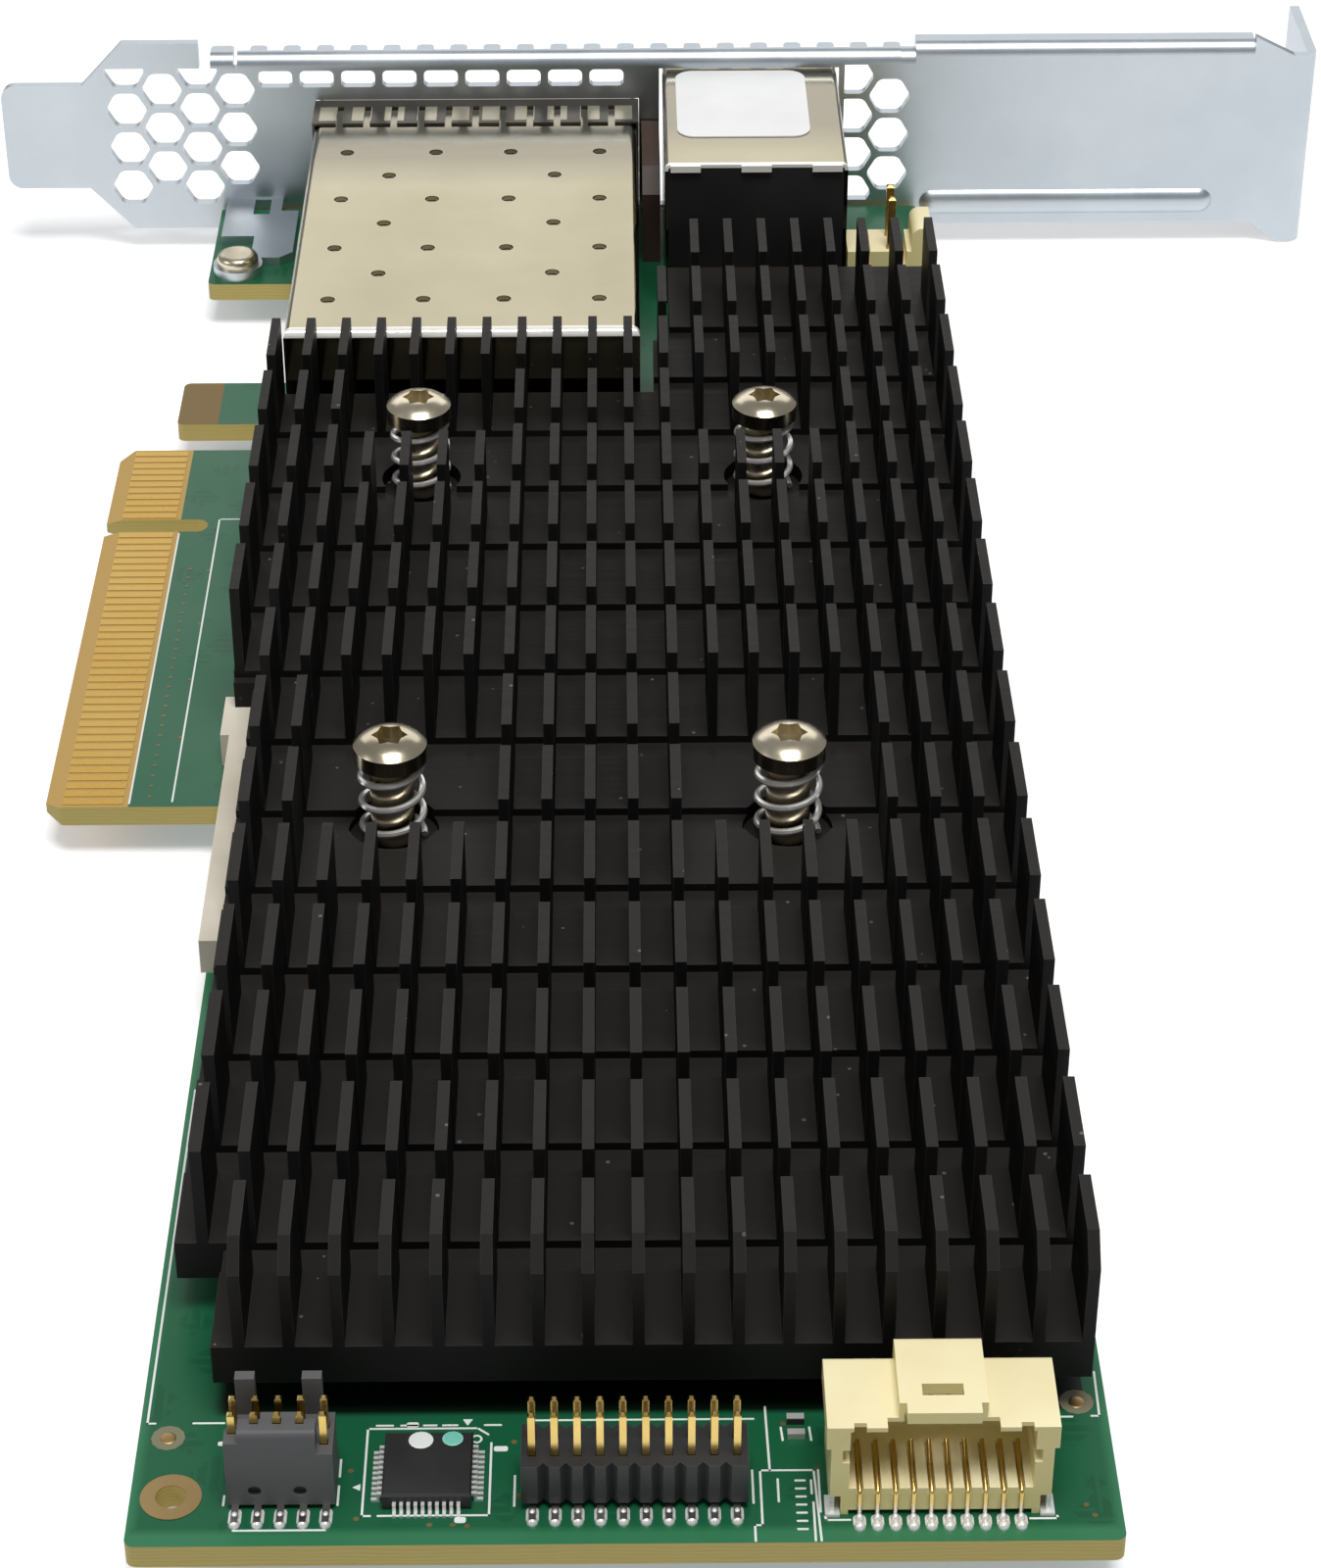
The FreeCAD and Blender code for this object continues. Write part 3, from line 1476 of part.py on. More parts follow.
def make_socket_tabs():
    """Bent metal plates that solder the shroud's two ends to the board."""
    tabs = []
    front = socket_front_y
    back = front + socket_tab_length
    sheet = socket_tab_sheet
    for outer, side in ((socket_waist_left_x, -1), (socket_waist_right_x, 1)):
        plate_ends = sorted((outer, outer - side * sheet))
        foot_ends = sorted((outer + side * sheet, outer - side * (socket_tab_width - thread_clearance)))
        plate = block(plate_ends[0], plate_ends[1], front, back - thread_clearance,
                      0, socket_tab_height)
        foot = block(foot_ends[0], foot_ends[1], front - sheet, back - thread_clearance, 0, sheet)
        tabs.append(plate.fuse(foot).removeSplitter())
    return group(tabs)


# ---- small flat-package chip ----

def make_micro_body():
    low, high = micro_lift, micro_lift + micro_height
    body = centred_block(micro_x, micro_y, micro_side, micro_side, low, high)
    top = [e for e in body.Edges if abs(e.BoundBox.ZMin - high) < 0.01]
    return body.makeChamfer(micro_bevel, top)


def make_micro_leads():
    """Gull-wing leads on the chip's four sides."""
    leads = []
    half = micro_side / 2
    mid = micro_lift + micro_height / 2
    sheet = micro_lead_sheet
    knee = half + micro_lead_knee
    tip = half + micro_lead_reach
    outline = [
        (half, mid), (knee, mid), (knee, sheet), (tip, sheet), (tip, 0),
        (knee - sheet, 0), (knee - sheet, mid - sheet), (half, mid - sheet),
    ]
    first = -(micro_leads - 1) / 2 * micro_lead_pitch
    for index in range(micro_leads):
        offset = first + index * micro_lead_pitch
        points = [vec(x, offset - micro_lead_width / 2, z) for x, z in outline]
        lead = prism(points, vec(0, micro_lead_width, 0))
        for quarter in range(4):
            copy = lead.copy()
            copy.rotate(vec(0, 0, 0), vec(0, 0, 1), 90 * quarter)
            copy.translate(vec(micro_x, micro_y, 0))
            leads.append(copy)
    return group(leads)


# ---- tall header by the jack ----

def fan_pin_rows():
    centre = fan_front_y + fan_length / 2
    first = centre - (fan_pin_count - 1) / 2 * fan_pin_pitch
    return [first + index * fan_pin_pitch for index in range(fan_pin_count)]


def make_fan_body():
    """Ridged base with a latch wall on its outer side."""
    right = fan_left_x + fan_width
    back = fan_front_y + fan_length
    body = block(fan_left_x, right, fan_front_y, back, 0, fan_base_height)
    wall = block(right - fan_wall, right, fan_front_y, back, 0, fan_wall_height)
    body = body.fuse(wall).removeSplitter()
    corner = upright_edges(body, [(right - fan_wall, fan_wall_height)], "y")
    body = body.makeFillet(fan_wall_corner, corner)
    cutters = [block(fan_left_x + near, fan_left_x + far, fan_front_y - overshoot,
                     back + overshoot, fan_base_height - fan_groove_depth,
                     fan_base_height + overshoot) for near, far in fan_grooves]
    gap = fan_pin_side / 2 + thread_clearance
    for y in fan_pin_rows():
        cutters.append(block(fan_pin_x - gap, fan_pin_x + gap, y - gap, y + gap,
                             -overshoot, fan_base_height + overshoot))
    return body.cut(cutters)


def make_fan_pins():
    pins = []
    for y in fan_pin_rows():
        pin = centred_block(fan_pin_x, y, fan_pin_side, fan_pin_side,
                            board_bottom_z - nut_height / 2, fan_pin_top)
        pins.append(bevelled_tip(pin, fan_pin_top, fan_pin_side))
    return group(pins)


def build():
    os.makedirs("parts", exist_ok=True)
    centre_x, centre_y = sink_screw_centre_x, sink_screw_centre_y
    left_bay, right_bay = bay_centres()
    screws = sink_screw_places()
    save("circuit_board", make_board())
    save("edge_contacts_component_side", make_contacts(0, contact_copper))
    save("edge_contacts_solder_side", make_contacts(board_bottom_z - contact_copper,
                                                    board_bottom_z))
    save("corner_hole_rings", make_hole_rings())
    save("heat_sink", make_heat_sink())
    save("heat_sink_screws", group([make_sink_screw(x, y) for x, y in screws]))
    save("heat_sink_springs", group([make_sink_spring(x, y) for x, y in screws]))
    save("heat_sink_nuts", group([make_sink_nut(x, y) for x, y in screws]))
    save("heat_sink_foam_strip", make_foam_strip())
    save("main_controller", make_controller())
    save("main_controller_thermal_pad", make_thermal_pad(centre_x, centre_y,
                                                         controller_lid_side, controller_height))
    save("phy_chip", centred_block(phy_x, phy_y, phy_side, phy_side, 0, phy_height))
    save("phy_chip_thermal_pad", make_thermal_pad(phy_x, phy_y, phy_side, phy_height))
    save("memory_chips", make_memory_chips())
    save("power_inductors", make_inductors())
    save("solder_side_capacitors", make_back_capacitors())
    save("flash_chip", centred_block(flash_x, flash_y, flash_width, flash_length,
                                     0, flash_height))
    save("chip_resistors", make_resistors())
    save("module_cage_cover", make_cage_cover())
    save("module_cage_floor", make_cage_floor())
    save("module_cage_divider", make_cage_divider())
    save("module_cage_gasket", make_cage_gasket())
    save("module_socket_left", make_module_socket(left_bay))
    save("module_socket_right", make_module_socket(right_bay))
    save("port_light_pipe", make_light_pipe())
    save("network_jack_shield", make_jack_shield())
    save("network_jack_housing", make_jack_housing())
    save("network_jack_contacts", make_jack_wires())
    save("network_jack_lamps", make_jack_leds())
    save("network_jack_label", make_jack_label())
    save("mounting_bracket", make_bracket())
    save("bracket_foot_screw", make_board_screw())
    save("link_connector_body", make_link_body())
    save("link_connector_pins", make_link_pins())
    save("strip_header_body", make_strip_body())
    save("strip_header_pins", make_strip_pins())
    save("wire_socket_body", make_socket_body())
    save("wire_socket_pins", make_socket_pins())
    save("wire_socket_solder_tabs", make_socket_tabs())
    save("small_controller_body", make_micro_body())
    save("small_controller_leads", make_micro_leads())
    save("tall_header_body", make_fan_body())
    save("tall_header_pins", make_fan_pins())


build()
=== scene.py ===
import math
from functools import reduce
from types import SimpleNamespace
import bpy
from mathutils import Matrix, Vector


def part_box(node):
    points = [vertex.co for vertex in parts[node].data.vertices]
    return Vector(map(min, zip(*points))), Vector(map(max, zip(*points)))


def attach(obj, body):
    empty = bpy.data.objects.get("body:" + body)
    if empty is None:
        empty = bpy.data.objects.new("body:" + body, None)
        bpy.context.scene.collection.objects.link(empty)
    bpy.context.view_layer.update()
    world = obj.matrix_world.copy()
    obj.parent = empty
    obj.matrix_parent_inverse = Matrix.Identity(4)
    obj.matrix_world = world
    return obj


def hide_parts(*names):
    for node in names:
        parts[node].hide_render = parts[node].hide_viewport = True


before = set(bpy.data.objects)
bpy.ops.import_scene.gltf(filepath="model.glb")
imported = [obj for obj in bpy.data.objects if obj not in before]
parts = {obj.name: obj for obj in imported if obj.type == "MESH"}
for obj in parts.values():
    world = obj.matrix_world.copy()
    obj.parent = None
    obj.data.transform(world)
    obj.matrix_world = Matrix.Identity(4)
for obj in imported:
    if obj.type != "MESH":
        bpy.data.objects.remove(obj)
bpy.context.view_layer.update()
mm = 0.001
uprightLean = 0.0001   # mm, an edge that leans less than this stands upright


def clearSelection():
    if bpy.context.object and bpy.context.object.mode != "OBJECT":
        bpy.ops.object.mode_set(mode="OBJECT")
    bpy.ops.object.select_all(action="DESELECT")


def editMesh(select):
    bpy.ops.object.mode_set(mode="EDIT")
    bpy.ops.mesh.select_mode(type=select)


def smoothUpTo(angle):
    bpy.ops.object.mode_set(mode="OBJECT")
    bpy.ops.object.shade_smooth_by_angle(angle=math.radians(angle))


def takeNew(name):
    piece = bpy.context.object  # what the last operator made
    piece.name = name
    piece.data.name = name
    return piece


def selectOnly(piece):
    clearSelection()
    piece.select_set(True)
    bpy.context.view_layer.objects.active = piece


def applyPlace(piece):
    selectOnly(piece)
    bpy.ops.object.transform_apply(location=True, rotation=True, scale=True)
    return piece


def roundUprights(piece, radius):
    points = piece.data.vertices
    for edge in piece.data.edges:
        a, b = (points[index].co for index in edge.vertices)
        edge.select = abs(a.x - b.x) + abs(a.y - b.y) < uprightLean * mm
    for face in piece.data.polygons:
        face.select = False
    selectOnly(piece)
    editMesh("EDGE")
    bpy.ops.mesh.bevel(offset=radius * mm, segments=2, affect="EDGES")
    bpy.ops.object.mode_set(mode="OBJECT")


def addPlate(name, middle, sides, corner, turn=0):
    # a flat box with rounded uprights
    clearSelection()
    bpy.ops.mesh.primitive_cube_add(size=1, rotation=(0, 0, turn),
                                    location=[value * mm for value in middle],
                                    scale=[value * mm for value in sides])
    plate = applyPlace(takeNew(name))
    roundUprights(plate, corner)
    return plate


def addDisc(name, sides, x, y, radius, rise, turn=0):
    clearSelection()
    bpy.ops.mesh.primitive_cylinder_add(vertices=sides, radius=radius * mm, depth=rise * mm,
                                        location=(x * mm, y * mm, rise / 2 * mm),
                                        rotation=(0, 0, math.radians(turn)))
    return applyPlace(takeNew(name))


def finish(pieces, name, material):
    # one object out of the copies, at the origin, riding on the card
    clearSelection()
    for piece in pieces:
        piece.select_set(True)
    bpy.context.view_layer.objects.active = pieces[0]
    if len(pieces) > 1:
        bpy.ops.object.join()
    whole = applyPlace(takeNew(name))
    whole.data.materials.clear()
    whole.data.materials.append(material)
    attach(whole, "root")
    return whole


def copyTo(piece, shiftX, shiftY):
    selectOnly(piece)
    bpy.ops.object.duplicate()
    twin = bpy.context.object
    twin.location = (shiftX * mm, shiftY * mm, 0)
    return applyPlace(twin)


def boxOf(node):
    # the six sides of a piece, in mm
    low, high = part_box(node)
    sides = [value / mm for value in (*low, *high)]
    return SimpleNamespace(**dict(zip(("left", "front", "under", "right", "back", "top"), sides)))


cloud = (0.3, 0.7)          # where a noise cloud has most of its change
noiseRoughness = 0.55
grainDepth = 0.03           # mm, the usual height of a bump


class Graph:
    # a thin layer over a node tree, so that a material reads top to bottom
    def __init__(self, tree):
        self.tree = tree

    def add(self, kind, **settings):
        node = self.tree.nodes.new(kind)
        for key, value in settings.items():
            if key.startswith("in_"):
                node.inputs[key[3:].replace("_", " ")].default_value = value
            else:
                setattr(node, key, value)
        return node

    def join(self, output, target):
        self.tree.links.new(output, target)

    def give(self, key, output):
        self.join(output, self.shader.inputs[key])

    def feed(self, node, index, value):
        socket = node.inputs[index]
        if isinstance(value, tuple):
            socket.default_value = (*value, 1)
        elif isinstance(value, (int, float)):
            socket.default_value = (value, value, value, 1) if socket.type == "RGBA" else value
        else:
            self.join(value, socket)

    def math(self, operation, a, b=0.0, clamp=False):
        node = self.add("ShaderNodeMath", operation=operation, use_clamp=clamp)
        self.feed(node, 0, a)
        self.feed(node, 1, b)
        return node.outputs[0]

    def times(self, a, b):
        return self.math("MULTIPLY", a, b)

    def ramp(self, value, low, high, outLow=0.0, outHigh=1.0):
        node = self.add("ShaderNodeMapRange", clamp=True)
        self.feed(node, 0, value)
        for index, number in enumerate((low, high, outLow, outHigh)):
            node.inputs[index + 1].default_value = number
        return node.outputs[0]

    def blend(self, share, a, b):
        node = self.add("ShaderNodeMix", data_type="RGBA")
        self.feed(node, 0, share)
        self.feed(node, 6, a)
        self.feed(node, 7, b)
        return node.outputs[2]

    def tint(self, mask, share, tone, colour):
        return self.blend(self.times(mask, share), tone, colour)

    def average(self, share, a, b):
        rest = self.times(a, 1 - share)
        return self.math("ADD", rest, self.times(b, share))

    def between(self, value, low, high):
        above = self.math("GREATER_THAN", value, low)
        return self.times(above, self.math("LESS_THAN", value, high))

    def noise(self, vector, scale, detail):
        node = self.add("ShaderNodeTexNoise", in_Scale=scale, in_Detail=detail,
                        in_Roughness=noiseRoughness)
        self.join(vector, node.inputs["Vector"])
        return node.outputs["Fac"]

    def stretched(self, vector, factors):
        node = self.add("ShaderNodeMapping")
        node.inputs["Scale"].default_value = factors
        self.join(vector, node.inputs["Vector"])
        return node.outputs["Vector"]

    def bump(self, height, strength, normal=None, depth=grainDepth):
        node = self.add("ShaderNodeBump", in_Strength=strength, in_Distance=depth * mm)
        self.join(height, node.inputs["Height"])
        if normal is not None:
            self.join(normal, node.inputs["Normal"])
        return node.outputs["Normal"]

    def place(self):
        return self.add("ShaderNodeTexCoord").outputs["Object"]

    def split(self, vector):
        node = self.add("ShaderNodeSeparateXYZ")
        self.join(vector, node.inputs[0])
        return node.outputs

    def axes(self):
        return self.split(self.place())

    def facingUp(self):
        return self.split(self.add("ShaderNodeTexCoord").outputs["Normal"])[2]


def newGroup(name, inputs, outputs):
    tree = bpy.data.node_groups.new(name, "ShaderNodeTree")
    for label, value in inputs.items():
        socket = tree.interface.new_socket(name=label, in_out="INPUT",
                                           socket_type="NodeSocketFloat")
        socket.default_value = value
    for label in outputs:
        tree.interface.new_socket(name=label, in_out="OUTPUT", socket_type="NodeSocketFloat")
    g = Graph(tree)
    return tree, g, g.add("NodeGroupInput"), g.add("NodeGroupOutput")


wearLook = {
    "bevelSamples": 6,
    "leanRange": (0.995, 0.85),   # cosines of the angle that a worn edge leans by
    "patchNoise": (900, 3),       # scale and detail
    "patchRange": (0.35, 0.65),
}


def makeEdgeWear():
    # how far a rounded normal leans from the flat one, broken up by noise
    tree, g, start, end = newGroup("edgeWear", {"Radius": 0.0002, "Break up": 0.5}, ["Wear"])
    bevel = g.add("ShaderNodeBevel", samples=wearLook["bevelSamples"])
    g.join(start.outputs["Radius"], bevel.inputs["Radius"])
    flat = g.add("ShaderNodeNewGeometry")
    product = g.add("ShaderNodeVectorMath", operation="DOT_PRODUCT")
    g.join(bevel.outputs["Normal"], product.inputs[0])
    g.join(flat.outputs["True Normal"], product.inputs[1])
    lean = g.ramp(product.outputs["Value"], *wearLook["leanRange"])
    gate = g.ramp(g.noise(g.place(), *wearLook["patchNoise"]), *wearLook["patchRange"])
    kept = g.math("SUBTRACT", 1.0, g.times(start.outputs["Break up"], gate))
    g.join(g.math("MULTIPLY", lean, kept, clamp=True), end.inputs["Wear"])
    return tree


grainDetail = {"Broad": 5.0, "Fine": 3.0}


def makeSurfaceGrain():
    # a broad cloud for colour and gloss, and a fine grain for bump
    tree, g, start, end = newGroup("surfaceGrain", {"Broad scale": 60.0, "Fine scale": 2500.0},
                                   list(grainDetail))
    coords = g.place()
    for label, detail in grainDetail.items():
        grain = g.add("ShaderNodeTexNoise", in_Detail=detail)
        g.join(coords, grain.inputs["Vector"])
        g.join(start.outputs[label + " scale"], grain.inputs["Scale"])
        g.join(grain.outputs["Fac"], end.inputs[label])
    return tree


dustLook = {
    "facingRange": (0.2, 0.9),
    "shareRange": (0.25, 1.0),    # on a wall, and on a face that looks up
}


def makeDustSpecks():
    # scattered pale specks, more of them on faces that look up
    tree, g, start, end = newGroup("dustSpecks", {"Scale": 700.0, "Amount": 0.08}, ["Dust"])
    cells = g.add("ShaderNodeTexVoronoi", feature="F1")
    g.join(g.place(), cells.inputs["Vector"])
    g.join(start.outputs["Scale"], cells.inputs["Scale"])
    close = g.math("LESS_THAN", cells.outputs["Distance"], start.outputs["Amount"])
    up = g.ramp(g.facingUp(), *dustLook["facingRange"], *dustLook["shareRange"])
    g.join(g.times(close, up), end.inputs["Dust"])
    return tree


edgeWear = makeEdgeWear()
surfaceGrain = makeSurfaceGrain()
dustSpecks = makeDustSpecks()


def newMaterial(name, **sockets):
    material = bpy.data.materials.new(name)
    material.use_nodes = True
    tree = material.node_tree
    tree.nodes.clear()
    g = Graph(tree)
    g.shader = g.add("ShaderNodeBsdfPrincipled")
    out = g.add("ShaderNodeOutputMaterial")
    g.join(g.shader.outputs[0], out.inputs[0])
    for key, value in sockets.items():
        g.shader.inputs[key.replace("_", " ")].default_value = value
    return material, g


def wearOn(g, radius, breakUp):
    node = g.add("ShaderNodeGroup", node_tree=edgeWear)
    node.inputs["Radius"].default_value = radius * mm
    node.inputs["Break up"].default_value = breakUp
    return node.outputs["Wear"]


def grainOn(g, broad, fine):
    node = g.add("ShaderNodeGroup", node_tree=surfaceGrain)
    node.inputs["Broad scale"].default_value = broad
    node.inputs["Fine scale"].default_value = fine
    return node.outputs["Broad"], node.outputs["Fine"]


def newSurface(name, look, **sockets):
    # a material whose gloss and relief are done, with a cloud and edge wear for its colour
    material, g = newMaterial(name, **sockets)
    broad, fine = grainOn(g, *look["grain"])
    wear = wearOn(g, look["wear"], look["breakUp"])
    g.give("Roughness", g.ramp(broad, *cloud, *look["rough"]))
    depth = look.get("grainDepth", grainDepth)
    g.give("Normal", g.bump(fine, look["grainBump"], depth=depth))
    return material, g, broad, wear


def dustOn(g, scale, amount):
    node = g.add("ShaderNodeGroup", node_tree=dustSpecks)
    node.inputs["Scale"].default_value = scale
    node.inputs["Amount"].default_value = amount
    return node.outputs["Dust"]


metals = {
    "brightNickel": dict(dark=(0.46, 0.40, 0.28), light=(0.80, 0.72, 0.55),
                         rough=(0.16, 0.32), wear=0.10),
    "springSteel": dict(dark=(0.72, 0.70, 0.66), light=(0.92, 0.90, 0.87), metallic=0.65,
                        rough=(0.16, 0.30), wear=0.04),
    "zincBracket": dict(dark=(0.47, 0.515, 0.55), light=(0.60, 0.645, 0.68),
                        rough=(0.30, 0.48), streak=(6, 1, 1), wear=0.15),
    "goldPlate": dict(dark=(0.44, 0.265, 0.052), light=(0.58, 0.39, 0.110),
                      rough=(0.22, 0.40), streak=(1, 8, 1), wear=0.06),
    "tinnedSolder": dict(dark=(0.80, 0.79, 0.77), light=(0.95, 0.94, 0.92), metallic=0.45,
                         rough=(0.24, 0.42), wear=0.05),
    "bareCopper": dict(dark=(0.36, 0.23, 0.09), light=(0.50, 0.35, 0.16),
                       rough=(0.30, 0.48), wear=0.05),
}

# what a metal has unless its own lines say otherwise
rolledMetal = {
    "metallic": 1.0,
    "grain": (70, 1800),      # scales of the broad cloud and of the fine grain
    "breakUp": 0.4,
    "wornShare": 0.55,
    "streak": (1, 1, 1),
    "streakNoise": (1400, 3),
    "streakShare": 0.4,
    "streakBump": 0.10,
    "grainBump": 0.06,
}


def rollMetal(g, look, broad, fine):
    # gloss and relief of rolled or drawn metal, with its streaks along one axis
    streaks = g.noise(g.stretched(g.place(), look["streak"]), *look["streakNoise"])
    mixed = g.average(look["streakShare"], broad, streaks)
    g.give("Roughness", g.ramp(mixed, *cloud, *look["rough"]))
    ripple = g.bump(streaks, look["streakBump"])
    g.give("Normal", g.bump(fine, look["grainBump"], ripple))


def makeMetal(name):
    look = {**rolledMetal, **metals[name]}
    material, g = newMaterial(name, Metallic=look["metallic"])
    broad, fine = grainOn(g, *look["grain"])
    wear = wearOn(g, look["wear"], look["breakUp"])
    tone = g.blend(g.ramp(broad, *cloud), look["dark"], look["light"])
    g.give("Base Color", g.tint(wear, look["wornShare"], tone, look["light"]))
    rollMetal(g, look, broad, fine)
    return material


foldedNickel = {
    "near": (0.35, 0.315, 0.205),
    "nearLight": (0.43, 0.39, 0.27),
    "far": (0.24, 0.215, 0.165),     # painted reflection: the darker end at the bracket, where the cover mirrors the bracket's shaded inner face
    "farReflectionShare": 0.8,
    "reflectionStart": 40.0,
    "reflectionEnd": 46.0,
    # worn edges lighter: partly wear, partly a painted highlight on the rolled edges
    "edge": (0.74, 0.70, 0.60),
    "wear": 0.12,
    "wornShare": 0.6,
    "foldHighlight": (0.97, 0.95, 0.88),      # painted highlight: the bend along the near edge, painted pale as if it shone
    "highlightWidth": 0.75,
    "highlightHeight": 0.6,
    "highlightPale": 0.8,
    "streak": (1, 12, 1),
    "rough": (0.05, 0.10),
}


def makeFoldedNickel():
    look = {**rolledMetal, **foldedNickel}
    material, g = newMaterial("foldedNickel", Metallic=look["metallic"])
    broad, fine = grainOn(g, *look["grain"])
    x, y, z = g.axes()
    tone = g.blend(g.ramp(broad, *cloud), look["near"], look["nearLight"])
    # painted reflection: the cover darkens towards the bracket, as if mirroring its shaded inner
    # face
    depth = g.ramp(y, look["reflectionStart"] * mm, look["reflectionEnd"] * mm)
    tone = g.tint(depth, look["farReflectionShare"], tone, look["far"])
    # partly wear, partly a painted highlight on the rolled edges
    wear = wearOn(g, look["wear"], look["breakUp"])
    tone = g.tint(wear, look["wornShare"], tone, look["edge"])
    # painted highlight: a pale, less metallic strip along the near top edge of the cage cover and
    # of the jack's shield
    foldHighlights = []
    for node in ("module_cage_cover", "network_jack_shield"):
        box = boxOf(node)
        nearEdge = g.math("LESS_THAN", y, (box.front + look["highlightWidth"]) * mm)
        upper = g.math("GREATER_THAN", z, (box.top - look["highlightHeight"]) * mm)
        foldHighlights.append(g.times(nearEdge, upper))
    onJack = g.math("GREATER_THAN", x, boxOf("module_cage_cover").right * mm)
    foldHighlight = g.blend(onJack, *foldHighlights)
    g.give("Base Color", g.blend(foldHighlight, tone, look["foldHighlight"]))
    g.give("Metallic", g.math("SUBTRACT", 1.0, g.times(foldHighlight, look["highlightPale"])))
    rollMetal(g, look, broad, fine)
    return material


gasket = {
    "count": 10,
    "share": 0.60,      # of each finger's pitch that its window takes
    "sill": 0.55,
    "lintel": 1.5,
    "frame": (0.060, 0.052, 0.040),
    "frameLight": (0.130, 0.115, 0.090),
    "window": (0.46, 0.42, 0.31),
    "metallic": 0.75,
    "rough": (0.22, 0.38),
    "grain": (160, 2200),
    "grainBump": 0.08,
    "wear": 0.08,
    "breakUp": 0.4,
    "wornShare": 0.5,
}


def makeGasketSteel():
    # dark spring fingers with the pale cage showing between them
    material, g, broad, wear = newSurface("gasketFingers", gasket, Metallic=gasket["metallic"])
    box = boxOf("module_cage_gasket")
    x, y, _ = g.axes()
    pitch = (box.right - box.left) / gasket["count"] * mm
    along = g.math("FRACT", g.math("DIVIDE", g.math("SUBTRACT", x, box.left * mm), pitch))
    edge = (1 - gasket["share"]) / 2
    across = g.between(along, edge, 1 - edge)
    inward = g.between(y, (box.front + gasket["sill"]) * mm, (box.back - gasket["lintel"]) * mm)
    window = g.times(across, inward)
    tone = g.blend(g.ramp(broad, *cloud), gasket["frame"], gasket["frameLight"])
    tone = g.tint(wear, gasket["wornShare"], tone, gasket["window"])
    g.give("Base Color", g.blend(window, tone, gasket["window"]))
    return material


plating = {
    "gold": (0.50, 0.33, 0.075),
    "goldLight": (0.80, 0.60, 0.22),
    "tin": (0.42, 0.40, 0.37),
    "tinLight": (0.80, 0.79, 0.76),
    "tinTop": 0.55,
    "blendHeight": 0.9,
    "waver": 0.4,       # mm, how uneven the line between tin and gold is
    "rough": (0.16, 0.32),
    "grain": (160, 2600),
    "grainBump": 0.08,
    "wear": 0.05,
    "breakUp": 0.3,
    "wornShare": 0.5,
}


def makePinPlating():
    # gold above, tinned where the tail meets the board
    material, g, broad, wear = newSurface("pinPlating", plating, Metallic=1.0)
    share = g.ramp(broad, *cloud)
    gold = g.blend(share, plating["gold"], plating["goldLight"])
    tin = g.blend(share, plating["tin"], plating["tinLight"])
    low = plating["tinTop"] * mm
    uneven = g.math("ADD", g.axes()[2], g.times(broad, plating["waver"] * mm))
    height = g.ramp(uneven, low, low + plating["blendHeight"] * mm)
    lit = g.blend(height, plating["tinLight"], plating["goldLight"])
    g.give("Base Color", g.tint(wear, plating["wornShare"], g.blend(height, tin, gold), lit))
    return material


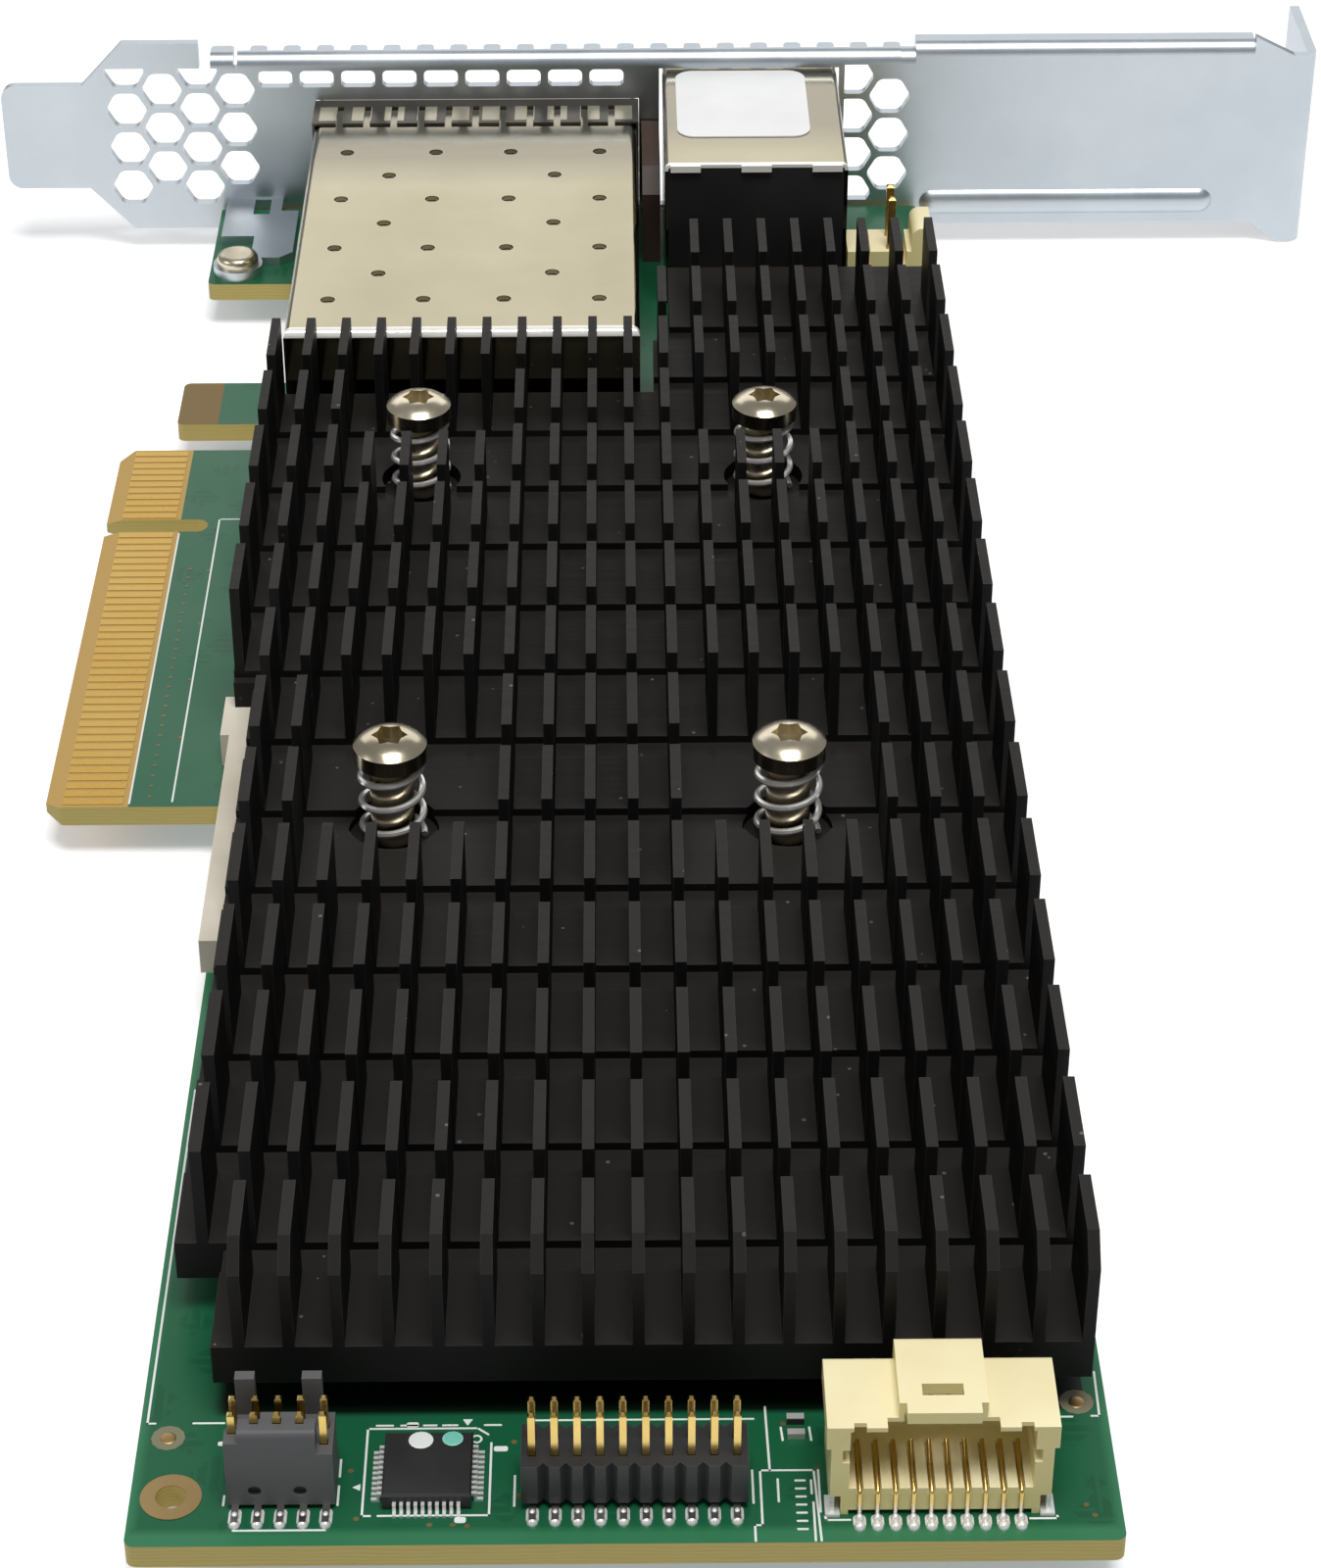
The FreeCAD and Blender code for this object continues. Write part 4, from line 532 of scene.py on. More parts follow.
plastics = {
    "blackMoulding": dict(dark=(0.016, 0.016, 0.017), light=(0.040, 0.040, 0.042),
                          rim=(0.13, 0.13, 0.14), rough=(0.40, 0.58), wear=0.08),
    "jackMoulding": dict(dark=(0.006, 0.006, 0.006), light=(0.014, 0.014, 0.013),
                         rim=(0.06, 0.06, 0.06), rough=(0.45, 0.60), wear=0.08),
    "greyMoulding": dict(dark=(0.070, 0.070, 0.072), light=(0.105, 0.105, 0.107),
                         rim=(0.17, 0.17, 0.18), rough=(0.48, 0.64), wear=0.10),
    "creamMoulding": dict(dark=(0.83, 0.72, 0.41), light=(0.93, 0.86, 0.56),
                          rim=(0.97, 0.92, 0.70), rough=(0.36, 0.50), wear=0.12,
                          # painted shade: the walls take a yellower colour than the top
                          side=(0.86, 0.76, 0.35)),
    "chipEpoxy": dict(dark=(0.010, 0.010, 0.010), light=(0.024, 0.024, 0.024),
                      rim=(0.13, 0.13, 0.13), rough=(0.46, 0.66), wear=0.05),
    "creamFoam": dict(dark=(0.52, 0.46, 0.36), light=(0.70, 0.65, 0.54),
                      rim=(0.82, 0.78, 0.68), rough=(0.80, 0.95), wear=0.15),
    "greySheet": dict(dark=(0.34, 0.32, 0.24), light=(0.46, 0.43, 0.34),
                      rim=(0.60, 0.57, 0.48), rough=(0.40, 0.55), wear=0.05),
    "thermalPad": dict(dark=(0.25, 0.27, 0.30), light=(0.38, 0.40, 0.43),
                       rim=(0.45, 0.47, 0.50), rough=(0.75, 0.90), wear=0.10),
    "lightPipe": dict(dark=(0.030, 0.018, 0.012), light=(0.075, 0.045, 0.030),
                      rim=(0.25, 0.18, 0.13), rough=(0.50, 0.66), wear=0.08),
    "lampPlastic": dict(dark=(0.45, 0.55, 0.35), light=(0.60, 0.72, 0.45),
                        rim=(0.80, 0.90, 0.65), rough=(0.10, 0.25), wear=0.05),
    "whiteLabel": dict(dark=(0.74, 0.74, 0.73), light=(0.86, 0.86, 0.85),
                       rim=(0.95, 0.95, 0.94), rough=(0.55, 0.72), wear=0.10),
    "whiteInk": dict(dark=(0.68, 0.72, 0.68), light=(0.86, 0.88, 0.85),
                     rim=(0.92, 0.93, 0.91), rough=(0.50, 0.70), wear=0.05),
    "tealPaint": dict(dark=(0.16, 0.52, 0.42), light=(0.26, 0.66, 0.55),
                      rim=(0.45, 0.80, 0.70), rough=(0.30, 0.50), wear=0.08),
    "bareLaminate": dict(dark=(0.16, 0.155, 0.085), light=(0.21, 0.20, 0.12),
                         rim=(0.22, 0.22, 0.14), rough=(0.45, 0.60), wear=0.05),
    "tentedMask": dict(dark=(0.080, 0.075, 0.022), light=(0.190, 0.140, 0.040),
                       rim=(0.24, 0.20, 0.08), rough=(0.35, 0.50), wear=0.05),
}


moulded = {
    "grain": (90, 3200),
    "breakUp": 0.6,
    "wornShare": 0.5,
    "grainBump": 0.12,
    "grainDepth": 0.04,
    "shadedWallRange": (0.3, 0.8),    # where a wall's painted shade colour gives way to the top's
}


def makePlastic(name):
    look = {**moulded, **plastics[name]}
    material, g, broad, wear = newSurface(name, look)
    tone = g.blend(g.ramp(broad, *cloud), look["dark"], look["light"])
    # painted shade: walls that look up less are yellower
    if "side" in look:
        tone = g.blend(g.ramp(g.facingUp(), *look["shadedWallRange"]), look["side"], tone)
    g.give("Base Color", g.tint(wear, look["wornShare"], tone, look["rim"]))
    return material


anodised = {
    "dark": (0.0046, 0.0044, 0.0043),
    "light": (0.0105, 0.0098, 0.0092),
    "top": (0.0260, 0.0225, 0.0190),   # painted sheen: the sawn tips of the fins are lighter and a little browner
    "topSheenShare": 0.6,
    "flatRange": (0.5, 0.9),
    # edges lighter: partly rubbed anodising, partly a painted glint along the edges
    "rubbedGlint": (0.11, 0.105, 0.10),
    "rubbedGlintShare": 0.30,
    "wear": 0.09,
    "breakUp": 0.8,
    "dust": (0.30, 0.29, 0.28),
    "dustShare": 0.35,
    "dustScale": 420,
    "dustAmount": 0.055,
    "specular": 0.16,
    "rough": (0.42, 0.60),
    "grain": (45, 2200),
    "grainBump": 0.10,
    "drawn": ((1, 0.03, 1), 2600),      # lines along the extrusion
    "sawn": ((0.03, 1, 1), 3200),       # marks in the cross-cuts
    "lineDetail": 2,
    "lineShare": 0.5,
    "lineBump": 0.10,
    "lineDepth": 0.04,
}


def makeAnodised():
    look = anodised
    material, g = newMaterial("blackAnodised", Specular_IOR_Level=look["specular"])
    broad, fine = grainOn(g, *look["grain"])
    coords = g.place()
    up = g.facingUp()
    drawn, sawn = (g.noise(g.stretched(coords, stretch), scale, look["lineDetail"])
                   for stretch, scale in (look["drawn"], look["sawn"]))
    flat = g.ramp(g.math("ABSOLUTE", up), *look["flatRange"])
    lines = g.blend(flat, drawn, sawn)
    wear = wearOn(g, look["wear"], look["breakUp"])
    dust = dustOn(g, look["dustScale"], look["dustAmount"])
    tone = g.blend(g.ramp(broad, *cloud), look["dark"], look["light"])
    # painted sheen on the faces that look up
    tipSheen = g.ramp(up, *look["flatRange"])
    tone = g.tint(tipSheen, look["topSheenShare"], tone, look["top"])
    # painted glint, with real rubbing, on the worn edges
    tone = g.tint(wear, look["rubbedGlintShare"], tone, look["rubbedGlint"])
    tone = g.tint(dust, look["dustShare"], tone, look["dust"])
    g.give("Base Color", tone)
    mixed = g.average(look["lineShare"], broad, lines)
    g.give("Roughness", g.ramp(mixed, *cloud, *look["rough"]))
    ripple = g.bump(lines, look["lineBump"], depth=look["lineDepth"])
    g.give("Normal", g.bump(fine, look["grainBump"], ripple))
    return material


resistorLook = {
    "body": (0.030, 0.030, 0.032),
    "cap": (0.62, 0.61, 0.58),
    "capShare": 0.27,
    "capMetallic": 0.45,
    "rough": (0.25, 0.50),
    "grain": (300, 3000),
    "grainBump": 0.1,
}


def makeResistorMaterial():
    # dark body between two tinned ends
    look = resistorLook
    material, g = newMaterial("chipResistor")
    box = boxOf("chip_resistors")
    broad, fine = grainOn(g, *look["grain"])
    inset = (box.back - box.front) * look["capShare"]
    body = g.between(g.axes()[1], (box.front + inset) * mm, (box.back - inset) * mm)
    cap = g.math("SUBTRACT", 1.0, body)
    g.give("Base Color", g.blend(cap, look["body"], look["cap"]))
    g.give("Metallic", g.times(cap, look["capMetallic"]))
    g.give("Roughness", g.ramp(broad, *cloud, *look["rough"]))
    g.give("Normal", g.bump(fine, look["grainBump"]))
    return material


board = {
    "maskDark": (0.0050, 0.078, 0.032),
    "maskLight": (0.0100, 0.120, 0.050),
    "maskRough": (0.30, 0.42),
    "mottleRange": (0.3, 0.75),
    "mottleShare": 0.35,
    "coat": 0.08,
    "coatRough": 0.14,
    "specular": 0.30,
    "grain": (120, 2600),
    "grainBump": 0.08,
    "pourScale": 260,
    "pourRange": (0.42, 0.46),
    "trackScale": 420,
    "trackRange": (0.72, 0.80),
    "patchScale": 130,
    "copperShare": 0.5,
    "copperBump": 0.25,
    "maskRim": (0.030, 0.175, 0.078),
    "sideRim": 0.4,
    "frontRim": 1.1,
    "rimBlur": 0.3,
    "bodyInset": 0.2,           # from the heat sink's left side to the board's own edge
    "shade": (0.002, 0.003, 0.002),
    "shadeShare": 0.93,
    "shadeInset": 1.2,
    "shadeDepth": 12.0,
    "shadeFront": (-0.1, 0.35),
    "shadeSide": 0.4,
    "shadeRight": 0.2,
    "laminate": (0.70, 0.575, 0.195),
    "laminateDark": (0.64, 0.525, 0.175),
    "layerScale": 1100,
    "layerWaver": 6.0,
    "layerStretch": (0.2, 0.2, 1),
    "layerRange": (0.2, 0.8),
    "wallBelow": 0.6,           # a face that looks up less than this is a cut edge
    "bareRough": 0.62,
    "contactZone": (0.46, 0.29, 0.080),
    "bareTip": 6.0,
    # bare laminate on the stub's tip, darkened as painted shade
    "stubShadedLaminate": (0.19, 0.125, 0.045),
    "stubStart": 16.5,
    "stubEnd": 23.7,
    "bareStub": 7.6,
}


def copperUnderMask(g, coords):
    # pours and tracks, as blocks and lines
    tiles = g.add("ShaderNodeTexVoronoi", feature="F1", distance="MANHATTAN",
                  in_Scale=board["pourScale"])
    g.join(coords, tiles.inputs["Vector"])
    tracks = []
    for axis in "XY":
        wave = g.add("ShaderNodeTexWave", bands_direction=axis, in_Scale=board["trackScale"],
                     in_Distortion=0.0)
        g.join(coords, wave.inputs["Vector"])
        tracks.append(wave.outputs["Fac"])
    patch = g.math("GREATER_THAN", g.noise(coords, board["patchScale"], 1), 0.5)
    lines = g.ramp(g.blend(patch, *tracks), *board["trackRange"])
    pour = g.ramp(tiles.outputs["Distance"], *board["pourRange"])
    return g.times(g.math("MAXIMUM", lines, pour), board["copperShare"])


def rimWithoutCopper(g, x, y):
    # no copper near the outline, so the mask is lighter there
    outline = boxOf("circuit_board")
    right = g.math("SUBTRACT", outline.right * mm, x)
    front = g.math("SUBTRACT", y, outline.front * mm)
    bodyLeft = boxOf("heat_sink").left + board["bodyInset"]
    left = g.math("ABSOLUTE", g.math("SUBTRACT", x, bodyLeft * mm))
    sides = g.math("ADD", g.math("MINIMUM", right, left), -board["sideRim"] * mm)
    edge = g.math("MINIMUM", sides, g.math("ADD", front, -board["frontRim"] * mm))
    blur = board["rimBlur"] * mm
    return g.ramp(edge, -blur, blur, 1.0, 0.0)


def shadeUnderSink(g, x, y):
    # the strip just under the heat sink's front edge, which hardly any light reaches
    sink = boxOf("heat_sink")
    left = boxOf("link_connector_body").left - board["shadeInset"]
    start, full = (sink.front + step for step in board["shadeFront"])
    return reduce(g.times, (
        g.ramp(y, start * mm, full * mm),
        g.math("LESS_THAN", y, (sink.front + board["shadeDepth"]) * mm),
        g.ramp(x, (left - board["shadeSide"]) * mm, (left + board["shadeSide"]) * mm),
        g.math("LESS_THAN", x, (sink.right - board["shadeRight"]) * mm)))


def cutLaminate(g, coords):
    layers = g.add("ShaderNodeTexWave", bands_direction="Z", in_Scale=board["layerScale"],
                   in_Distortion=board["layerWaver"])
    g.join(g.stretched(coords, board["layerStretch"]), layers.inputs["Vector"])
    return g.blend(g.ramp(layers.outputs["Fac"], *board["layerRange"]), board["laminateDark"],
                   board["laminate"])


def makeBoardMaterial():
    material, g = newMaterial("solderMask", Coat_Weight=board["coat"],
                              Coat_Roughness=board["coatRough"],
                              Specular_IOR_Level=board["specular"])
    broad, fine = grainOn(g, *board["grain"])
    coords = g.place()
    x, y, _ = g.split(coords)
    copper = copperUnderMask(g, coords)
    tone = g.blend(copper, board["maskDark"], board["maskLight"])
    mottle = g.ramp(broad, *board["mottleRange"], 0, board["mottleShare"])
    tone = g.blend(mottle, tone, board["maskLight"])
    tone = g.blend(rimWithoutCopper(g, x, y), tone, board["maskRim"])
    tone = g.tint(shadeUnderSink(g, x, y), board["shadeShare"], tone, board["shade"])

    # bare laminate at the contacts, on the stub's tip and on every cut edge; the stub's tip is
    # darker by painted shade
    tip = g.math("LESS_THAN", x, board["bareTip"] * mm)
    onStub = g.math("GREATER_THAN", y, board["stubStart"] * mm)
    stubTip = g.times(onStub, g.math("LESS_THAN", x, board["bareStub"] * mm))
    beforeTail = g.math("LESS_THAN", y, board["stubEnd"] * mm)
    zone = g.times(g.math("MAXIMUM", tip, stubTip), beforeTail)
    wall = g.math("LESS_THAN", g.math("ABSOLUTE", g.facingUp()), board["wallBelow"])
    tone = g.blend(zone, tone, g.blend(onStub, board["contactZone"], board["stubShadedLaminate"]))
    g.give("Base Color", g.blend(wall, tone, cutLaminate(g, coords)))
    gloss = g.ramp(broad, *cloud, *board["maskRough"])
    bare = g.math("MAXIMUM", zone, wall)
    g.give("Roughness", g.blend(bare, gloss, board["bareRough"]))
    relief = g.bump(copper, board["copperBump"])
    g.give("Normal", g.bump(fine, board["grainBump"], relief))
    return material


print("materials")
made = {name: makeMetal(name) for name in metals}
made.update({name: makePlastic(name) for name in plastics})
made["foldedNickel"] = makeFoldedNickel()
made["pinPlating"] = makePinPlating()
made["gasketFingers"] = makeGasketSteel()
made["blackAnodised"] = makeAnodised()
made["chipResistor"] = makeResistorMaterial()
made["solderMask"] = makeBoardMaterial()

finishes = {
    "solderMask": ["circuit_board"],
    "goldPlate": ["edge_contacts_component_side", "edge_contacts_solder_side",
                  "network_jack_contacts", "tall_header_pins"],
    "bareCopper": ["corner_hole_rings"],
    "blackAnodised": ["heat_sink"],
    "brightNickel": ["heat_sink_screws", "heat_sink_nuts", "bracket_foot_screw"],
    "springSteel": ["heat_sink_springs"],
    "creamFoam": ["heat_sink_foam_strip"],
    "chipEpoxy": ["main_controller", "phy_chip", "memory_chips", "flash_chip",
                  "small_controller_body"],
    "thermalPad": ["main_controller_thermal_pad", "phy_chip_thermal_pad"],
    "greyMoulding": ["power_inductors", "link_connector_body"],
    "tinnedSolder": ["solder_side_capacitors", "wire_socket_solder_tabs",
                     "small_controller_leads"],
    "chipResistor": ["chip_resistors"],
    "foldedNickel": ["module_cage_cover", "module_cage_floor", "module_cage_divider",
                     "network_jack_shield"],
    "gasketFingers": ["module_cage_gasket"],
    "blackMoulding": ["module_socket_left", "module_socket_right", "strip_header_body"],
    "lightPipe": ["port_light_pipe"],
    "jackMoulding": ["network_jack_housing"],
    "lampPlastic": ["network_jack_lamps"],
    "whiteLabel": ["network_jack_label"],
    "zincBracket": ["mounting_bracket"],
    "pinPlating": ["link_connector_pins", "strip_header_pins", "wire_socket_pins"],
    "creamMoulding": ["wire_socket_body", "tall_header_body"],
}
for finishName, nodes in finishes.items():
    for node in nodes:
        parts[node].data.materials.clear()
        parts[node].data.materials.append(made[finishName])


ink = {
    "rise": 0.035,
    "width": 0.13,
    "tick": 0.4,            # width of the short thick marks
    "corner": 0.3,          # share of the width
    "triangleCorner": 0.1,  # share of the size
    "ringSteps": (28, 8),
}


def inkStroke(x0, y0, x1, y1, width=None):
    width = width or ink["width"]
    length = math.hypot(x1 - x0, y1 - y0) + width
    return addPlate("inkStroke", ((x0 + x1) / 2, (y0 + y1) / 2, ink["rise"] / 2),
                    (length, width, ink["rise"]), width * ink["corner"],
                    math.atan2(y1 - y0, x1 - x0))


def inkPath(points):
    return [inkStroke(*a, *b) for a, b in zip(points, points[1:])]


def inkTriangle(x, y, size, turn):
    mark = addDisc("inkTriangle", 3, x, y, size, ink["rise"], turn)
    roundUprights(mark, size * ink["triangleCorner"])
    return mark


def inkRing(x, y, radius):
    major, minor = ink["ringSteps"]
    clearSelection()
    bpy.ops.mesh.primitive_torus_add(major_radius=radius * mm, minor_radius=ink["width"] / 2 * mm,
                                     major_segments=major, minor_segments=minor,
                                     location=(x * mm, y * mm, ink["rise"] / 2 * mm))
    ring = takeNew("inkRing")
    ring.scale = (1, 1, ink["rise"] / ink["width"])
    return applyPlace(ring)


keepOut = {
    "gap": 0.55,       # from the heat sink's front edge to the line before it
    "lineX": (14.15, 13.7, 16.35),   # its short end, its corner, and where it goes on
    "run": 30,
    "dashes": ((0.5, 1.4), (1.9, 2.8), (3.2, 3.9), (4.3, 5.1), (6.7, 7.6)),
}

inkTable = {
    "top": -104.9,
    "step": -109.1,
    "rules": ((0.3, -105.6, -107.3), (0.88, -105.7, -106.7)),
    "lastRule": (0.9, -107.4),
    "rows": 7,
    "firstRow": -105.7,
    "rowPitch": 0.62,
    "rowWidth": 0.14,
}


def inkConnector(body, line):
    # round the low connector, with the keep-out line beside it
    left, right, front = body.left, body.right, body.front
    tickX, cornerX, restX = keepOut["lineX"]
    return [
        inkStroke(left + 0.4, front - 1.65, right - 0.5, front - 1.65),
        inkStroke(left - 0.3, front + 1.0, left - 0.3, front + 0.3),
        inkStroke(right + 0.1, front + 3.75, right + 0.1, front + 2.45),
        inkStroke(right + 0.1, front + 1.7, right + 0.1, front + 0.25),
        inkStroke(left - 0.85, front + 5.1, left - 0.65, front + 5.1, 0.32),
        *inkPath([(tickX, line), (cornerX, line), (cornerX, line + keepOut["run"])]),
        inkStroke(restX, line, left - 0.8, line),
    ]


def inkController(chip, line):
    # box round the small controller, open at one corner, and the marks about it
    left, right, low, high = chip.left - 1.1, chip.right + 1.0, chip.front - 0.5, chip.back + 1.3
    tick = ink["tick"]
    marks = [
        *inkPath([(left + 0.45, low), (left, low), (left, high), (right - 0.9, high)]),
        *inkPath([(left + 0.9, low), (right, low), (right, high - 1.2)]),
        inkStroke(right - 0.75, high - 0.05, right - 0.2, high - 0.5),
        inkRing(right - 0.85, high - 0.85, 0.27),
        inkTriangle(right - 1.4, high + 0.55, 0.34, 180),
        inkTriangle(left - 0.35, low + 2.2, 0.3, 90),
        inkStroke(left + 2.4, high + 0.3, left + 2.7, high + 0.3, tick),
        inkStroke(right + 0.35, high - 1.65, right + 0.75, high - 1.65, tick),
        inkStroke(right - 1.7, low - 0.35, right - 1.5, low - 0.35, 0.45),
    ]
    for start, end in keepOut["dashes"]:
        marks.append(inkStroke(left + start, line - 0.3, left + end, line - 0.3))
    return marks


def inkHeader(header, line):
    # behind and beside the strip header
    left, right, front = header.left, header.right, header.front
    return [
        inkStroke(left + 0.55, line + 0.05, right + 0.5, line + 0.05),
        inkStroke(left - 0.4, front + 2.6, left - 0.4, front + 0.3),
        inkStroke(right + 0.3, front + 2.9, right + 0.3, front + 0.4),
    ]


def inkBlankTable(left, right, bottom, line):
    top, step = inkTable["top"], inkTable["step"]
    marks = inkPath([(left - 0.42, bottom), (left - 0.42, step), (left, step), (left, top),
                     (right - 0.2, top), (right, bottom)])
    marks.append(inkStroke(left + 0.55, top, left + 0.45, line + 1.0))
    for share, y0, y1 in (*inkTable["rules"], (*inkTable["lastRule"], bottom)):
        x = left + share * (right - left)
        marks.append(inkStroke(x, y0, x, y1))
    for row in range(inkTable["rows"]):
        y = inkTable["firstRow"] - row * inkTable["rowPitch"]
        marks.append(inkStroke(right - 1.25, y, right - 0.75, y, inkTable["rowWidth"]))
    return marks


def inkSocket(socket, resistors, edge, line):
    # round the two chip resistors and the wire socket, and along the board's right edge
    left, right, front = socket.left, socket.right, socket.front
    foot = resistors.front
    return [
        inkStroke(resistors.left - 0.35, foot + 0.9, resistors.left - 0.28, foot - 0.1),
        inkStroke(resistors.right + 0.28, foot + 0.9, resistors.right + 0.35, foot - 0.1),
        inkStroke(left - 0.2, front + 3.4, left - 0.2, front + 0.2),
        *inkPath([(left + 0.02, front - 0.2), (left + 0.1, front - 0.45),
                  (left + 1.4, front - 0.45)]),
        *inkPath([(right - 1.4, front - 0.43), (right + 0.12, front - 0.43),
                  (right + 0.12, front - 0.25)]),
        inkStroke(right + 1.1, line + 0.05, right + 1.75, line + 0.05),
        *inkPath([(edge - 0.95, line + 0.1), (edge - 0.5, line + 0.1), (edge - 0.42, line + 3.7)]),
    ]


def makeFrontInk():
    outline, header = boxOf("circuit_board"), boxOf("strip_header_body")
    socket = boxOf("wire_socket_body")
    line = boxOf("heat_sink").front - keepOut["gap"]
    marks = inkConnector(boxOf("link_connector_body"), line)
    marks += inkController(boxOf("small_controller_body"), line)
    marks += inkHeader(header, line)
    marks += inkBlankTable(header.right + 0.75, socket.left - 0.25, outline.front + 0.12, line)
    marks += inkSocket(socket, boxOf("chip_resistors"), outline.right, line)
    finish(marks, "front_ink", made["whiteInk"])


sideInk = {
    "near": (0.45, -1.3),       # how far right of the contacts, and where it ends in y
    "far": (3.5, 0.9),
    "shelf": 6.6,
}


def makeSideInk():
    # two long lines beside the contacts, the outer one turned away at its end
    contacts = boxOf("edge_contacts_component_side")
    right, front = contacts.right, contacts.front
    (near, nearEnd), (far, farEnd) = sideInk["near"], sideInk["far"]
    marks = [inkStroke(right + near, nearEnd, right + near, front + 0.1),
             inkStroke(right + far, farEnd, right + far, front + 0.3),
             inkStroke(right + far, farEnd, right + sideInk["shelf"], farEnd)]
    finish(marks, "side_ink", made["whiteInk"])


vias = {
    "radius": 0.19,
    "rise": 0.03,
    "sides": 12,
    "inset": 0.45,       # share of the radius
    "dip": 0.6,          # share of the rise
    "pitch": 1.3,
    "count": 25,
    "firstGap": 1.0,     # from the contacts' front end
    "innerX": 7.4,
    "outerX": 8.9,
    "outerEvery": 6,
    "outerShift": -0.3,
    "loose": ((25.6, 4.4), (26.1, 8.1), (34.8, 2.2), (35.1, 6.4), (35.4, 3.9), (50.2, 0.9),
              (52.0, 4.4), (31.5, 8.6), (32.3, 8.7), (30.2, 8.6), (66.9, 7.4), (67.3, 8.2)),
}   # the loose ones are given by x and by how far they stand in front of the heat sink


def makeVia(x, y, radius):
    via = addDisc("via", vias["sides"], x, y, radius, vias["rise"])
    for face in via.data.polygons:
        face.select = face.normal.z > 0.9
    editMesh("FACE")
    bpy.ops.mesh.inset(thickness=radius * vias["inset"] * mm,
                       depth=-vias["rise"] * vias["dip"] * mm)
    bpy.ops.object.mode_set(mode="OBJECT")
    return via


def makeVias():
    firstY = boxOf("edge_contacts_component_side").front + vias["firstGap"]
    sinkFront = boxOf("heat_sink").front
    first = makeVia(vias["innerX"], firstY, vias["radius"])
    rows = [first]
    for index in range(1, vias["count"]):
        along = index * vias["pitch"]
        rows.append(copyTo(first, 0, along))
        if index % vias["outerEvery"] == 0:
            rows.append(copyTo(first, vias["outerX"] - vias["innerX"],
                               along + vias["outerShift"]))
    for x, before in vias["loose"]:
        rows.append(copyTo(first, x - vias["innerX"], sinkFront - before - firstY))
    finish(rows, "tented_vias", made["tentedMask"])


solder = {
    "padRise": 0.04,
    "padWidth": 0.72,
    "padCorner": 0.35,      # share of the pad's width
    "moundRise": 0.34,
    "moundLength": 0.72,
    "moundWidth": 0.52,
    "endShift": 0.12,
    "endExtra": 0.14,
    "heelShift": 0.62,
    "heelLength": 0.62,
    "heelRise": 1.3,        # share of the mound's
    "ballSteps": (16, 10),
    "cutHeight": 0.001,     # mm, just over the ball's middle ring
    "cutSnap": 0.0001,
    "smoothAngle": 50,
}

solderRows = {
    "link_connector": dict(inset=0.2, count=5, reach=1.3),
    "strip_header": dict(inset=0.2, count=10, reach=1.2),
    "wire_socket": dict(inset=0.16, count=10, reach=1.0),
}


def makeMound(x, y, width, length, rise):
    # half an egg: a ball, squashed, cut off at the pad
    segments, rings = solder["ballSteps"]
    clearSelection()
    bpy.ops.mesh.primitive_uv_sphere_add(segments=segments, ring_count=rings, radius=0.5,
                                         location=(x * mm, y * mm, 0),
                                         scale=(width * mm, length * mm, 2 * rise * mm))
    mound = applyPlace(takeNew("solderMound"))
    bpy.ops.object.mode_set(mode="EDIT")
    bpy.ops.mesh.select_all(action="SELECT")
    bpy.ops.mesh.bisect(plane_co=(0, 0, solder["cutHeight"] * mm), plane_no=(0, 0, 1),
                        use_fill=True, clear_inner=True, threshold=solder["cutSnap"] * mm)
    smoothUpTo(solder["smoothAngle"])
    return mound


def makeSolderRow(name, firstX, pitch, count, tailY, reach):
    # a long pad under every tail, with a mound round its end and one at its heel
    width, rise, pad = solder["moundWidth"], solder["moundRise"], solder["padWidth"]
    first = [addPlate("solderPad", (firstX, tailY + reach / 2, solder["padRise"] / 2),
                      (pad, reach, solder["padRise"]), pad * solder["padCorner"]),
             makeMound(firstX, tailY + solder["endShift"], width + solder["endExtra"],
                       solder["moundLength"], rise),
             makeMound(firstX, tailY + solder["heelShift"], width, solder["heelLength"],
                       rise * solder["heelRise"])]
    row = list(first)
    for index in range(1, count):
        row += [copyTo(piece, index * pitch, 0) for piece in first]
    finish(row, name, made["tinnedSolder"])


def makeSolderJoints():
    for name, row in solderRows.items():
        pins = boxOf(name + "_pins")
        inset, count = row["inset"], row["count"]
        pitch = (pins.right - pins.left - 2 * inset) / (count - 1)
        makeSolderRow(name + "_solder", pins.left + inset, pitch, count, pins.front,
                      row["reach"])


wireContacts = {
    "count": 10,
    "wire": 0.27,
    "inset": 0.16,      # from the row's end, and from its top, to a wire's middle
    "sill": 1.86,       # height at which the lower wires go in
    "footGap": 0.28,
    "frontGap": 0.17,
    "lipGap": 0.05,
    "rearGap": 0.12,
    "bend": 0.12,
    "rearInset": 2.9,
    "slope": 1.4,
    "kink": 0.7,
    "tip": 1.3,
    "footHeight": 0.02,
    "smoothAngle": 60,
}


def bentWire(points, thickness):
    # a round wire along straight runs, made a mesh at once
    curve = bpy.data.curves.new("bentWire", "CURVE")
    curve.dimensions = "3D"
    curve.bevel_depth = thickness / 2 * mm
    curve.bevel_resolution = 2
    curve.use_fill_caps = True
    run = curve.splines.new("POLY")
    run.points.add(len(points) - 1)
    for point, place in zip(run.points, points):
        point.co = (*(value * mm for value in place), 1)
    wire = bpy.data.objects.new("bentWire", curve)
    bpy.context.collection.objects.link(wire)
    selectOnly(wire)
    bpy.ops.object.convert(target="MESH")
    smoothUpTo(wireContacts["smoothAngle"])
    return applyPlace(takeNew("bentWire"))


